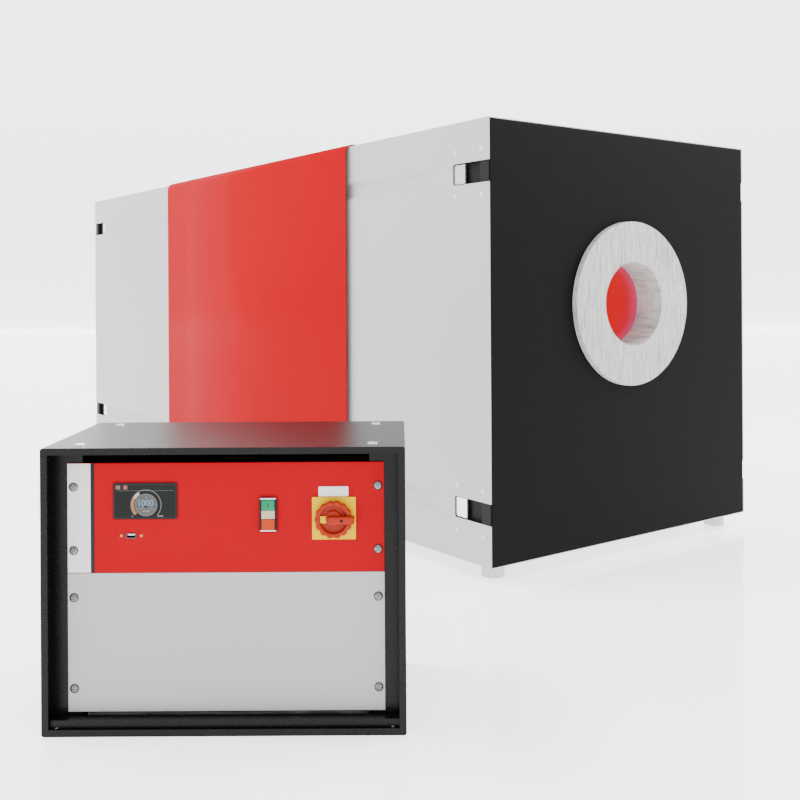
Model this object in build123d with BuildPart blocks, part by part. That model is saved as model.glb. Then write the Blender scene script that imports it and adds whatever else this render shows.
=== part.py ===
"""Three-zone horizontal tube furnace with its free-standing control cabinet.

Frame: the origin is on the work tube's axis at mid-length, +X runs along the tube to the
black end that carries the fibre plug, -Y faces the painted long side, +Z is up. Millimetres.
"""
import os
from math import copysign, cos, radians, sin

from build123d import *

os.makedirs("parts", exist_ok=True)

# Furnace case
case_length = 1990.0
case_width = 720.0
case_height = 780.0
axis_rise = 63.0
sheet = 1.5
skin_return = 20.0
return_end_gap = 1.0
foot_diameter = 41.0
foot_height = 28.0
foot_inset_x = 45.0
foot_inset_y = 43.0
foot_edge = 2.5

# Pressed channels and corner notches of the long sides
channel_inset = 92.5
channel_width = 38.0
channel_depth = 6.0
channel_slope = 8.0
channel_fade = 60.0
channel_margin = 118.0
notch_length = 99.0
notch_radius = 5.0

# Latch pockets behind the notches
pocket_start = 25.0
pocket_length = 79.0
pocket_depth = 10.0
pocket_rim = 29.0
pocket_sheet = 1.5
pocket_plate_start = 3.0
tongue_start = 68.0
tongue_sink = 3.0
tongue_lip = 4.0
tongue_width = 34.0
tongue_gap = 1.0

# End panels
pan_sheet = 2.0
pan_flange = 25.0
pan_bend = 3.0
pan_corner = 4.0

# Hot section
bore_diameter = 160.0
plug_diameter = 316.0
plug_length = 63.0
plug_proud = 12.0
plug_edge = 3.0
plug_clearance = 0.5
tube_wall = 18.0
tube_end_gap = 1.0
collar_length = 80.0
element_thickness = 4.7
element_width = 9.0
turns_per_zone = 7
zone_gap = 204.0
zone_end_gap = 66.0
element_room = 3.0
insulation_end_gap = 3.0
can_top_gap = 11.2
can_side_gap = 46.7
can_sheet = 1.5
can_flange = 25.0
hot_clearance = 0.3

# Frame inside the case
rail_leg = 30.0
rail_thickness = 3.0
rail_end_gap = 3.0
hoop_section = 25.0
hoop_inset = 128.0
cradle_thickness = 4.0
cradle_half_width = 250.0
cradle_top = -90.0
cradle_foot = 15.0
cradle_inset = 155.0

# Leads, terminals and sensors of the hot section
lead_radius = 3.0
lead_length = 28.2
block_overhang = 12.0
block_width = 50.0
block_height = 30.0
block_corner = 8.0
block_edge = 1.5
bracket_sheet = 2.0
bracket_foot = 25.0
sensor_radius = 3.0
sensor_head_radius = 14.0
sensor_head_height = 26.0
passage_clearance = 1.0

# Supply entry on the rear long side
entry_from_end = 295.0
entry_height = 200.0
entry_length = 130.0
entry_width = 80.0
entry_sheet = 2.0
entry_lap = 12.0
entry_corner = 5.0
gland_spacing = 62.0
gland_radius = 12.0
gland_nut_radius = 16.0
gland_nut_height = 9.0
gland_dome_height = 12.0
gland_dome_taper = 12.0
gland_tail = 14.0
gland_bore = 7.0

# Wrap-around cover
cover_width = 920.0
cover_centre = 98.0
cover_proud = 11.0
cover_rise = 5.0
cover_radius = 20.0
spacer_inset = 45.0
spacer_width = 30.0
spacer_end_gap = 40.0

# Control cabinet
cabinet_width = 419.0
cabinet_height = 331.0
cabinet_depth = 220.0
cabinet_turn = 53.885
cabinet_place_x = 1241.4
cabinet_place_y = -984.3
cabinet_sheet = 2.0
cabinet_lip = 8.0
cabinet_corner = 3.0
panel_recess = 20.0
panel_thickness = 2.5
panel_side_gap = 24.8
panel_bottom = 20.8
panel_split = 182.3
panel_top = 310.3
panel_gap = 0.6
rack_flange = 40.0
rack_return = 45.0
rack_sheet = 2.0
ledge_setback = 5.0
ledge_height = 9.0
ledge_depth = 14.0
screw_inset = 7.2
screw_head_radius = 4.7
screw_head_height = 2.6
screw_radius = 2.4
screw_length = 10.0
screw_slot = 1.2
screw_slot_turn = 40.0
screw_head_taper = 20.0
screw_clearance = 0.3
screw_heights = (47.9, 153.7, 208.8, 282.9)

# Display, memory-stick port and controller
display_left = 91.0
display_z = 266.2
display_width = 74.4
display_height = 42.1
display_proud = 1.6
display_border = 2.6
display_corner = 2.0
glass_sink = 0.4
controller_depth = 70.0
controller_inset = 3.0
port_left = 74.4
port_z = 225.7
port_width = 11.9
port_height = 6.3
port_depth = 22.0
port_proud = 1.0

# Double push-button
button_right = 135.0
button_z = 249.8
button_plate_width = 20.2
button_plate_height = 39.6
button_plate_proud = 3.0
button_plate_corner = 2.0
button_width = 15.4
button_height = 12.0
button_proud = 4.6
button_thickness = 6.0
button_edge = 1.0
button_travel = 3.0
button_gap = 0.4
cap_spacing = 0.5
lens_height = 9.6
lens_proud = 3.6
stem_radius = 2.4
stem_fit = 0.05
stem_length = 12.0
contact_depth = 40.0
opening_inset = 1.9
cap_end_gap = 1.0

# Main switch
switch_right = 58.5
switch_z = 245.0
switch_plate_width = 51.0
switch_plate_height = 49.4
switch_plate_thickness = 1.6
switch_plate_corner = 1.0
knob_radius = 22.2
knob_scallops = 14
knob_scallop_radius = 3.0
knob_height = 9.0
knob_recess_radius = 16.3
knob_recess_depth = 5.0
knob_recess_taper = -8.0
knob_lift = 0.5
handle_back = 7.0
handle_reach = 24.0
handle_width = 8.7
handle_height = 14.0
handle_corner = 1.2
handle_taper = 4.0
insert_reach = 15.5
insert_width = 8.0
insert_height = 3.0
shaft_radius = 3.0
shaft_fit = 0.05
shaft_length = 38.0
shaft_hole_clearance = 1.0
switch_body_size = 46.0
switch_body_depth = 55.0

# Inside and back of the cabinet
tray_thickness = 2.0
tray_lip = 14.0
tray_depth = 150.0
tray_side_gap = 2.5
tray_setback = 6.0
device_gap = 19.0
device_edge = 3.0
sink_depth = 120.0
sink_height = 70.0
sink_fins = 9
sink_fin_thickness = 3.0
sink_base = 10.0
stack_height = 36.0
stack_depth = 96.0
core_limb = 21.0
core_yoke = 14.4
transformer_depth = 62.0
transformer_height = 72.0
coil_overhang = 9.0
coil_side_gap = 2.1
contactor_width = 45.0
contactor_height = 75.0
contactor_base_height = 52.5
contactor_depth = 70.0
contactor_step_depth = 35.0
rear_panel_sheet = 2.0
vent_slots = 9
vent_slot_length = 70.0
vent_slot_width = 5.0
vent_pitch = 11.0
vent_z = 225.0
socket_radius = 17.0
socket_flange = 48.0
socket_flange_thickness = 3.0
socket_proud = 14.0
socket_inside = 22.0
socket_z = 70.0
socket_spacing = 80.0
stud_radius = 6.0
stud_height = 1.2
stud_taper = 20.0
stud_inset_x = 38.0
stud_inset_y = 26.0

# Heights and half sizes that follow from the case
half_length = case_length / 2
half_width = case_width / 2
axis_height = case_height / 2 + axis_rise
top_z = case_height - axis_height
bottom_z = -axis_height
middle_z = (top_z + bottom_z) / 2
floor_z = bottom_z - foot_height
inner_half = half_width - sheet
bore_radius = bore_diameter / 2
plug_radius = plug_diameter / 2
plug_face = half_length + plug_proud
plug_inner = plug_face - plug_length
tube_radius = bore_radius + tube_wall
tube_half = plug_inner - tube_end_gap
element_inner = tube_radius + hot_clearance
element_outer = element_inner + element_thickness
chamber_radius = element_outer + element_room
insulation_half = half_length - pan_sheet - insulation_end_gap
room_above = top_z - 2 * sheet - can_top_gap - sensor_head_height
room_beside = inner_half - can_side_gap - can_flange
can_outer = min(room_above, room_beside)
can_inner = can_outer - can_sheet
insulation_radius = can_inner - hot_clearance
channel_levels = (bottom_z + channel_inset, top_z - channel_inset)
chamber_half = plug_inner - collar_length
zone_length = 2 * (chamber_half - zone_end_gap - zone_gap) / 3
zone_half = zone_length / 2
zone_pitch = zone_length + zone_gap
zone_centres = (-zone_pitch, 0.0, zone_pitch)
element_pitch = zone_length / (turns_per_zone - 1)
sensor_offset = element_pitch / 2
lead_drop = can_outer + lead_length
block_length = zone_length + 2 * block_overhang
cradle_end = half_length - cradle_inset
cradle_places = (-cradle_end, -zone_pitch / 2, zone_pitch / 2, cradle_end)
return_length = case_length - 2 * (pan_flange + return_end_gap)
entry_place_x = entry_from_end - half_length


def side_plane(depth):
    """Plane parallel to the front long side, this far behind its outer face.

    Its x runs along the tube, its y is up and its normal points out of the case.
    """
    return Plane(origin=(0, -half_width + depth, 0), x_dir=(1, 0, 0), z_dir=(0, -1, 0))


def end_plane(x):
    """Plane across the tube at x: its x runs to the rear side, its y is up."""
    return Plane(origin=(x, 0, 0), x_dir=(0, 1, 0), z_dir=(1, 0, 0))


def level(z):
    """Horizontal plane at height z."""
    return Plane.XY.offset(z)


# Front long side: one folded sheet with two pressed channels and four corner notches
with BuildPart() as front_skin:
    with BuildSketch(side_plane(0)):
        with Locations((0, middle_z)):
            Rectangle(case_length, case_height)
    extrude(amount=-sheet)
    for edge_z, turn in ((top_z - sheet, -1), (bottom_z + sheet, 1)):
        with BuildSketch(level(edge_z)):
            with Locations((0, -half_width + skin_return / 2)):
                Rectangle(return_length, skin_return)
        extrude(amount=turn * sheet)
    for shift, operation in ((sheet, Mode.ADD), (0.0, Mode.SUBTRACT)):
        for channel_z in channel_levels:
            with BuildSketch(side_plane(shift)):
                with Locations((0, channel_z)):
                    Rectangle(case_length - 2 * channel_margin, channel_width)
            with BuildSketch(side_plane(shift + channel_depth)):
                with Locations((0, channel_z)):
                    Rectangle(case_length - 2 * (channel_margin + channel_fade),
                              channel_width - 2 * channel_slope)
            loft(ruled=True, mode=operation)
    with BuildSketch(side_plane(0)):
        for channel_z in channel_levels:
            for end in (-1, 1):
                with Locations((end * half_length, channel_z)):
                    RectangleRounded(2 * notch_length, channel_width, notch_radius)
    extrude(amount=-sheet, mode=Mode.SUBTRACT)
front_skin.part.label = "front_skin"
export_step(front_skin.part, "parts/front_skin.step")

# Rear long side: the same sheet turned round, with the supply entry cut in it
with BuildPart() as rear_skin:
    mirror(front_skin.part, about=Plane.XZ)
    with BuildSketch(Plane(origin=(0, half_width, 0), x_dir=(1, 0, 0), z_dir=(0, -1, 0))):
        with Locations((entry_place_x, bottom_z + entry_height)):
            RectangleRounded(entry_length - 2 * entry_lap, entry_width - 2 * entry_lap, entry_corner)
    extrude(amount=sheet, mode=Mode.SUBTRACT)
rear_skin.part.label = "rear_skin"
export_step(rear_skin.part, "parts/rear_skin.step")

# Top sheet and base sheet lie on the returns of the long sides
with BuildPart() as top_skin:
    with BuildSketch(level(top_z)):
        Rectangle(case_length, 2 * inner_half)
    extrude(amount=-sheet)
top_skin.part.label = "top_skin"
export_step(top_skin.part, "parts/top_skin.step")

with BuildPart() as base_sheet:
    with BuildSketch(level(bottom_z)):
        Rectangle(case_length, 2 * inner_half)
    extrude(amount=sheet)
base_sheet.part.label = "base_sheet"
export_step(base_sheet.part, "parts/base_sheet.step")

with BuildPart() as feet:
    with BuildSketch(level(bottom_z)):
        with GridLocations(case_length - 2 * foot_inset_x, case_width - 2 * foot_inset_y, 2, 2):
            Circle(foot_diameter / 2)
    extrude(amount=-foot_height)
    fillet(feet.faces().sort_by(Axis.Z)[0:4].edges(), foot_edge)
feet.part.label = "feet"
export_step(feet.part, "parts/feet.step")

# End panels: black pans with flanges turned into the case, a round hole for the plug
pan_height = case_height - 2 * sheet
with BuildPart() as right_end_panel:
    with BuildSketch(end_plane(half_length)):
        with Locations((0, middle_z)):
            RectangleRounded(2 * inner_half, pan_height, pan_corner)
    extrude(amount=-pan_flange)
    fillet(right_end_panel.faces().sort_by(Axis.X)[-1].edges(), pan_bend)
    offset(amount=-pan_sheet, openings=right_end_panel.faces().sort_by(Axis.X)[0])
    with BuildSketch(end_plane(half_length)):
        Circle(plug_radius + plug_clearance)
    extrude(amount=-pan_sheet, mode=Mode.SUBTRACT)
    with BuildSketch(end_plane(half_length - pan_bend)):
        for channel_z in channel_levels:
            for side in (-1, 1):
                with Locations((side * inner_half, channel_z)):
                    Rectangle(2 * (pan_sheet + sheet), channel_width + 2 * pocket_rim + 2 * sheet)
    extrude(amount=-pan_flange, mode=Mode.SUBTRACT)
right_end_panel.part.label = "right_end_panel"
export_step(right_end_panel.part, "parts/right_end_panel.step")

with BuildPart() as left_end_panel:
    mirror(right_end_panel.part, about=Plane.YZ)
left_end_panel.part.label = "left_end_panel"
export_step(left_end_panel.part, "parts/left_end_panel.step")

# Latch pockets: pressed plates riveted behind the notches, each with a sunk floor
plate_length = pocket_start + pocket_length + pocket_plate_start
with BuildPart() as latch_pockets:
    for channel_z in channel_levels:
        with BuildSketch(side_plane(sheet)):
            with Locations((half_length - pocket_plate_start - plate_length / 2, channel_z)):
                Rectangle(plate_length, channel_width + 2 * pocket_rim)
        extrude(amount=-pocket_sheet)
        pocket_middle = half_length - pocket_start - pocket_length / 2
        with BuildSketch(side_plane(sheet)):
            with Locations((pocket_middle, channel_z)):
                RectangleRounded(pocket_length + 2 * pocket_sheet,
                                 channel_width + 4 * pocket_sheet, notch_radius)
        extrude(amount=-pocket_depth - pocket_sheet)
        with BuildSketch(side_plane(sheet)):
            with Locations((pocket_middle, channel_z)):
                RectangleRounded(pocket_length, channel_width + 2 * pocket_sheet,
                                 notch_radius - pocket_sheet)
        extrude(amount=-pocket_depth, mode=Mode.SUBTRACT)
    mirror(about=Plane.YZ)
    mirror(about=Plane.XZ)
latch_pockets.part.label = "latch_pockets"
export_step(latch_pockets.part, "parts/latch_pockets.step")

# Latch tongues: bright formed strips standing on the pocket floors
tongue_end = pocket_start + pocket_length - tongue_gap
tongue_floor = sheet + pocket_depth
with BuildPart() as latch_tongues:
    for channel_z in channel_levels:
        with BuildSketch(level(channel_z + tongue_width / 2)):
            with BuildLine():
                Polyline(
                    (half_length - tongue_start, -half_width + tongue_sink),
                    (half_length - tongue_end, -half_width + tongue_sink),
                    (half_length - tongue_end, -half_width + tongue_floor),
                    (half_length - tongue_end + sheet, -half_width + tongue_floor),
                    (half_length - tongue_end + sheet, -half_width + tongue_sink + sheet),
                    (half_length - tongue_start - sheet, -half_width + tongue_sink + sheet),
                    (half_length - tongue_start - sheet, -half_width + tongue_sink + tongue_lip),
                    (half_length - tongue_start, -half_width + tongue_sink + tongue_lip),
                    close=True,
                )
            make_face()
        extrude(amount=-tongue_width)
    mirror(about=Plane.YZ)
    mirror(about=Plane.XZ)
latch_tongues.part.label = "latch_tongues"
export_step(latch_tongues.part, "parts/latch_tongues.step")

# Frame: four angle rails in the long corners and two square hoops across them
rail_outer_y = inner_half
rail_top = top_z - 2 * sheet
rail_bottom = bottom_z + 2 * sheet
rail_half = half_length - pan_flange - rail_end_gap
with BuildPart() as frame_rails:
    with BuildSketch(end_plane(-rail_half)):
        for side in (-1, 1):
            for corner_z, turn in ((rail_top, -1), (rail_bottom, 1)):
                with Locations((side * (rail_outer_y - rail_thickness / 2),
                                corner_z + turn * rail_leg / 2)):
                    Rectangle(rail_thickness, rail_leg)
                with Locations((side * (rail_outer_y - rail_leg / 2),
                                corner_z + turn * rail_thickness / 2)):
                    Rectangle(rail_leg, rail_thickness)
    extrude(amount=2 * rail_half)
frame_rails.part.label = "frame_rails"
export_step(frame_rails.part, "parts/frame_rails.step")

with BuildPart() as frame_hoops:
    for end in (-1, 1):
        with BuildSketch(end_plane(end * (half_length - hoop_inset) - hoop_section / 2)):
            with Locations((0, (rail_top + rail_bottom) / 2)):
                Rectangle(2 * (rail_outer_y - rail_thickness),
                          rail_top - rail_bottom - 2 * rail_thickness)
                Rectangle(2 * (rail_outer_y - rail_thickness - hoop_section),
                          rail_top - rail_bottom - 2 * (rail_thickness + hoop_section),
                          mode=Mode.SUBTRACT)
        extrude(amount=hoop_section)
frame_hoops.part.label = "frame_hoops"
export_step(frame_hoops.part, "parts/frame_hoops.step")

# Cradles: flanged plates standing on the base sheet with the can lying in them
with BuildPart() as cradles:
    for cradle_x in cradle_places:
        with BuildSketch(end_plane(cradle_x - cradle_thickness / 2)):
            with Locations((0, (bottom_z + sheet + cradle_top) / 2)):
                Rectangle(2 * cradle_half_width, cradle_top - bottom_z - sheet)
            Circle(can_outer + hot_clearance, mode=Mode.SUBTRACT)
        extrude(amount=cradle_thickness)
        with BuildSketch(level(bottom_z + sheet)):
            with Locations((cradle_x + copysign(cradle_foot - cradle_thickness, cradle_x) / 2, 0)):
                Rectangle(cradle_foot, 2 * cradle_half_width)
        extrude(amount=cradle_thickness)
cradles.part.label = "cradles"
export_step(cradles.part, "parts/cradles.step")

# Ceramic work tube, white hot in use, carried in the insulation's end collars
with BuildPart() as heated_tube:
    with BuildSketch(end_plane(-tube_half)):
        Circle(tube_radius)
        Circle(bore_radius, mode=Mode.SUBTRACT)
    extrude(amount=2 * tube_half)
heated_tube.part.label = "heated_tube"
export_step(heated_tube.part, "parts/heated_tube.step")

# Heating elements: three zones of ribbon turns joined by a link along the tube's side
with BuildPart() as heating_elements:
    for zone_x in zone_centres:
        for turn in range(turns_per_zone):
            with BuildSketch(end_plane(zone_x - zone_half + turn * element_pitch - element_width / 2)):
                Circle(element_outer)
                Circle(element_inner, mode=Mode.SUBTRACT)
            extrude(amount=element_width)
        with BuildSketch(end_plane(zone_x - zone_half)):
            with Locations((element_inner + element_thickness / 2, 0)):
                Rectangle(element_thickness / 2, element_width)
        extrude(amount=2 * zone_half)
heating_elements.part.label = "heating_elements"
export_step(heating_elements.part, "parts/heating_elements.step")

# Insulation halves: half rings of ceramic fibre, stepped for the plugs, collars and elements
collar_radius = tube_radius + hot_clearance
seat_radius = plug_radius + plug_clearance
with BuildPart() as insulation_half_ring:
    with BuildSketch(Plane.XY):
        with BuildLine():
            Polyline(
                (-insulation_half, insulation_radius),
                (insulation_half, insulation_radius),
                (insulation_half, seat_radius),
                (plug_inner, seat_radius),
                (plug_inner, collar_radius),
                (chamber_half, collar_radius),
                (chamber_half, chamber_radius),
                (-chamber_half, chamber_radius),
                (-chamber_half, collar_radius),
                (-plug_inner, collar_radius),
                (-plug_inner, seat_radius),
                (-insulation_half, seat_radius),
                close=True,
            )
        make_face()
    revolve(axis=Axis.X, revolution_arc=180)
with BuildPart() as upper_insulation:
    add(insulation_half_ring.part)
    with BuildSketch(level(chamber_radius / 2)):
        for zone_x in zone_centres:
            with Locations((zone_x + sensor_offset, 0)):
                Circle(sensor_radius + passage_clearance)
    extrude(amount=insulation_radius, mode=Mode.SUBTRACT)
upper_insulation.part.label = "upper_insulation"
export_step(upper_insulation.part, "parts/upper_insulation.step")

with BuildPart() as lower_insulation:
    mirror(insulation_half_ring.part, about=Plane.XY)
    with BuildSketch(level(-chamber_radius / 2)):
        for zone_x in zone_centres:
            with Locations((zone_x - zone_half, 0), (zone_x + zone_half, 0)):
                Circle(lead_radius + passage_clearance)
    extrude(amount=-insulation_radius, mode=Mode.SUBTRACT)
lower_insulation.part.label = "lower_insulation"
export_step(lower_insulation.part, "parts/lower_insulation.step")

# Can halves: rolled sheet round the insulation with flanges bolted along the split
with BuildPart() as can_half:
    with BuildSketch(Plane.XY):
        with Locations((0, (can_inner + can_outer) / 2)):
            Rectangle(2 * insulation_half, can_sheet)
    revolve(axis=Axis.X, revolution_arc=180)
    with BuildSketch(level(0)):
        for side in (-1, 1):
            with Locations((0, side * (can_inner + can_sheet / 2 + can_flange / 2))):
                Rectangle(2 * insulation_half, can_flange)
    extrude(amount=can_sheet)
with BuildPart() as upper_can:
    add(can_half.part)
    with BuildSketch(level(can_inner / 2)):
        for zone_x in zone_centres:
            with Locations((zone_x + sensor_offset, 0)):
                Circle(sensor_radius + passage_clearance)
    extrude(amount=can_inner, mode=Mode.SUBTRACT)
upper_can.part.label = "upper_can"
export_step(upper_can.part, "parts/upper_can.step")

with BuildPart() as lower_can:
    mirror(can_half.part, about=Plane.XY)
    with BuildSketch(level(-can_inner / 2)):
        for zone_x in zone_centres:
            with Locations((zone_x - zone_half, 0), (zone_x + zone_half, 0)):
                Circle(lead_radius + passage_clearance)
    extrude(amount=-can_inner, mode=Mode.SUBTRACT)
lower_can.part.label = "lower_can"
export_step(lower_can.part, "parts/lower_can.step")

# Element leads drop through the lower insulation to one ceramic block for each zone
with BuildPart() as element_leads:
    with BuildSketch(level(-element_outer)):
        for zone_x in zone_centres:
            with Locations((zone_x - zone_half, 0), (zone_x + zone_half, 0)):
                Circle(lead_radius)
    extrude(amount=element_outer - lead_drop)
element_leads.part.label = "element_leads"
export_step(element_leads.part, "parts/element_leads.step")

with BuildPart() as terminal_blocks:
    for zone_x in zone_centres:
        with BuildSketch(level(-lead_drop)):
            with Locations((zone_x, 0)):
                RectangleRounded(block_length, block_width, block_corner)
        extrude(amount=-block_height)
    chamfer(terminal_blocks.faces().sort_by(Axis.Z)[-3:].edges(), block_edge)
terminal_blocks.part.label = "terminal_blocks"
export_step(terminal_blocks.part, "parts/terminal_blocks.step")

bracket_top = -lead_drop - block_height
bracket_low = bottom_z + sheet
bracket_half = block_length / 2
with BuildPart() as terminal_brackets:
    for zone_x in zone_centres:
        with BuildSketch(Plane.XZ.offset(-block_width / 2)):
            with BuildLine():
                Polyline(
                    (zone_x - bracket_half - bracket_foot, bracket_low),
                    (zone_x - bracket_half + bracket_sheet, bracket_low),
                    (zone_x - bracket_half + bracket_sheet, bracket_top - bracket_sheet),
                    (zone_x + bracket_half - bracket_sheet, bracket_top - bracket_sheet),
                    (zone_x + bracket_half - bracket_sheet, bracket_low),
                    (zone_x + bracket_half + bracket_foot, bracket_low),
                    (zone_x + bracket_half + bracket_foot, bracket_low + bracket_sheet),
                    (zone_x + bracket_half, bracket_low + bracket_sheet),
                    (zone_x + bracket_half, bracket_top),
                    (zone_x - bracket_half, bracket_top),
                    (zone_x - bracket_half, bracket_low + bracket_sheet),
                    (zone_x - bracket_half - bracket_foot, bracket_low + bracket_sheet),
                    close=True,
                )
            make_face()
        extrude(amount=block_width)
terminal_brackets.part.label = "terminal_brackets"
export_step(terminal_brackets.part, "parts/terminal_brackets.step")

# Thermocouples: one sheathed rod for each zone, with its head on the can
with BuildPart() as thermocouples:
    for zone_x in zone_centres:
        with BuildSketch(Plane(origin=(zone_x + sensor_offset, 0, 0), x_dir=(1, 0, 0), z_dir=(0, -1, 0))):
            with BuildLine():
                Polyline(
                    (0, tube_radius + hot_clearance),
                    (sensor_radius, tube_radius + hot_clearance),
                    (sensor_radius, can_outer + hot_clearance),
                    (sensor_head_radius, can_outer + hot_clearance),
                    (sensor_head_radius, can_outer + sensor_head_height - sensor_radius),
                    (sensor_head_radius - sensor_radius, can_outer + sensor_head_height),
                    (0, can_outer + sensor_head_height),
                    close=True,
                )
            make_face()
        revolve(axis=Axis((zone_x + sensor_offset, 0, 0), (0, 0, 1)))
thermocouples.part.label = "thermocouples"
export_step(thermocouples.part, "parts/thermocouples.step")

# Fibre end plugs: thick rings that slide out of the end panels
with BuildPart() as right_plug:
    with BuildSketch(end_plane(plug_face)):
        Circle(plug_radius)
        Circle(bore_radius, mode=Mode.SUBTRACT)
    extrude(amount=-plug_length)
    fillet(right_plug.faces().sort_by(Axis.X)[-1].edges(), plug_edge)
right_plug.part.label = "right_plug"
export_step(right_plug.part, "parts/right_plug.step")

with BuildPart() as left_plug:
    mirror(right_plug.part, about=Plane.YZ)
left_plug.part.label = "left_plug"
export_step(left_plug.part, "parts/left_plug.step")

# Supply entry: a cover plate over the cut-out with two cable glands
entry_plane = Plane(origin=(entry_place_x, half_width, bottom_z + entry_height),
                    x_dir=(1, 0, 0), z_dir=(0, -1, 0))
with BuildPart() as entry_plate:
    with BuildSketch(entry_plane):
        RectangleRounded(entry_length, entry_width, entry_corner)
        with Locations((-gland_spacing / 2, 0), (gland_spacing / 2, 0)):
            Circle(gland_radius + passage_clearance, mode=Mode.SUBTRACT)
    extrude(amount=-entry_sheet)
entry_plate.part.label = "entry_plate"
export_step(entry_plate.part, "parts/entry_plate.step")

gland_face = entry_plane.offset(-entry_sheet)
with BuildPart() as entry_glands:
    for offset_x in (-gland_spacing / 2, gland_spacing / 2):
        with BuildSketch(gland_face):
            with Locations((offset_x, 0)):
                RegularPolygon(gland_nut_radius, 6)
        extrude(amount=-gland_nut_height)
        with BuildSketch(gland_face.offset(-gland_nut_height)):
            with Locations((offset_x, 0)):
                Circle(gland_radius)
        extrude(amount=-gland_dome_height, taper=gland_dome_taper)
        with BuildSketch(gland_face):
            with Locations((offset_x, 0)):
                Circle(gland_radius)
        extrude(amount=gland_tail)
        with BuildSketch(gland_face.offset(-gland_nut_height - gland_dome_height)):
            with Locations((offset_x, 0)):
                Circle(gland_bore)
        extrude(amount=gland_nut_height + gland_dome_height + gland_tail, mode=Mode.SUBTRACT)
entry_glands.part.label = "entry_glands"
export_step(entry_glands.part, "parts/entry_glands.step")

# Wrap-around cover: one bent sheet over the front, top and rear, standing off the skins
cover_half = half_width + cover_proud
cover_top = top_z + cover_rise
with BuildPart() as wrap_cover:
    with BuildSketch(end_plane(cover_centre - cover_width / 2)):
        with BuildLine():
            outer = FilletPolyline(
                (-cover_half, bottom_z),
                (-cover_half, cover_top),
                (cover_half, cover_top),
                (cover_half, bottom_z),
                radius=cover_radius,
            )
            inner = FilletPolyline(
                (-cover_half + sheet, bottom_z),
                (-cover_half + sheet, cover_top - sheet),
                (cover_half - sheet, cover_top - sheet),
                (cover_half - sheet, bottom_z),
                radius=cover_radius - sheet,
            )
            Line(outer @ 0, inner @ 0)
            Line(outer @ 1, inner @ 1)
        make_face()
    extrude(amount=cover_width)
wrap_cover.part.label = "wrap_cover"
export_step(wrap_cover.part, "parts/wrap_cover.step")

# Cover spacers: Z strips between the skins and the cover
front_gap = cover_proud - sheet
spacer_height = case_height - spacer_end_gap
with BuildPart() as cover_spacers:
    for end in (-1, 1):
        spacer_x = cover_centre + end * (cover_width / 2 - spacer_inset)
        for side in (-1, 1):
            with BuildSketch(level(bottom_z)):
                with Locations((spacer_x - spacer_width / 4, side * (half_width + sheet / 2))):
                    Rectangle(spacer_width / 2, sheet)
                with Locations((spacer_x, side * (half_width + front_gap / 2))):
                    Rectangle(sheet, front_gap)
                with Locations((spacer_x + spacer_width / 4,
                                side * (half_width + front_gap - sheet / 2))):
                    Rectangle(spacer_width / 2, sheet)
            extrude(amount=spacer_height)
        with BuildSketch(level(top_z)):
            with Locations((spacer_x, 0)):
                Rectangle(spacer_width, 2 * (half_width - spacer_end_gap))
        extrude(amount=cover_rise - sheet)
cover_spacers.part.label = "cover_spacers"
export_step(cover_spacers.part, "parts/cover_spacers.step")

# Control cabinet: its own right, front and place
turn_angle = radians(cabinet_turn)
cabinet_right = (cos(turn_angle), sin(turn_angle), 0)
cabinet_out = (sin(turn_angle), -cos(turn_angle), 0)


def front_plane(depth):
    """Plane parallel to the cabinet's front, this far behind the lip.

    Its origin is on the cabinet's centre line at floor level, its x runs to the right,
    its y is up and its normal points out of the cabinet.
    """
    origin = (cabinet_place_x - depth * cabinet_out[0], cabinet_place_y - depth * cabinet_out[1], floor_z)
    return Plane(origin=origin, x_dir=cabinet_right, z_dir=cabinet_out)


def shelf_plane(height):
    """Horizontal plane in the cabinet: its x runs to the right, its y runs to the back."""
    return Plane(origin=(cabinet_place_x, cabinet_place_y, floor_z + height),
                 x_dir=cabinet_right, z_dir=(0, 0, 1))


cabinet_inner_width = cabinet_width - 2 * cabinet_sheet
cabinet_inner_height = cabinet_height - 2 * cabinet_sheet
cabinet_middle = cabinet_height / 2
panel_back = panel_recess + panel_thickness
panel_width = cabinet_width - 2 * panel_side_gap
screw_x = panel_width / 2 - screw_inset
display_x = display_left - panel_width / 2
port_x = port_left - panel_width / 2
button_x = panel_width / 2 - button_right
switch_x = panel_width / 2 - switch_right

with BuildPart() as cabinet_shell:
    with BuildSketch(front_plane(0)):
        with Locations((0, cabinet_middle)):
            RectangleRounded(cabinet_width, cabinet_height, cabinet_corner)
    extrude(amount=-cabinet_depth)
    with BuildSketch(front_plane(cabinet_sheet)):
        with Locations((0, cabinet_middle)):
            Rectangle(cabinet_inner_width, cabinet_inner_height)
    extrude(amount=-cabinet_depth, mode=Mode.SUBTRACT)
    with BuildSketch(front_plane(0)):
        with Locations((0, cabinet_middle)):
            Rectangle(cabinet_width - 2 * cabinet_lip, cabinet_height - 2 * cabinet_lip)
    extrude(amount=-cabinet_sheet, mode=Mode.SUBTRACT)
cabinet_shell.part.label = "cabinet_shell"
export_step(cabinet_shell.part, "parts/cabinet_shell.step")

# Ledge: a folded strip across the cabinet's mouth, under the lower panel
with BuildPart() as cabinet_ledge:
    with BuildSketch(front_plane(ledge_setback)):
        with Locations((0, cabinet_sheet + (cabinet_lip + ledge_height - cabinet_sheet) / 2)):
            Rectangle(cabinet_inner_width, cabinet_lip + ledge_height - cabinet_sheet)
    extrude(amount=-cabinet_sheet)
    with BuildSketch(front_plane(ledge_setback)):
        with Locations((0, cabinet_lip + ledge_height - cabinet_sheet / 2)):
            Rectangle(cabinet_inner_width, cabinet_sheet)
    extrude(amount=-ledge_depth)
cabinet_ledge.part.label = "cabinet_ledge"
export_step(cabinet_ledge.part, "parts/cabinet_ledge.step")

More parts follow.
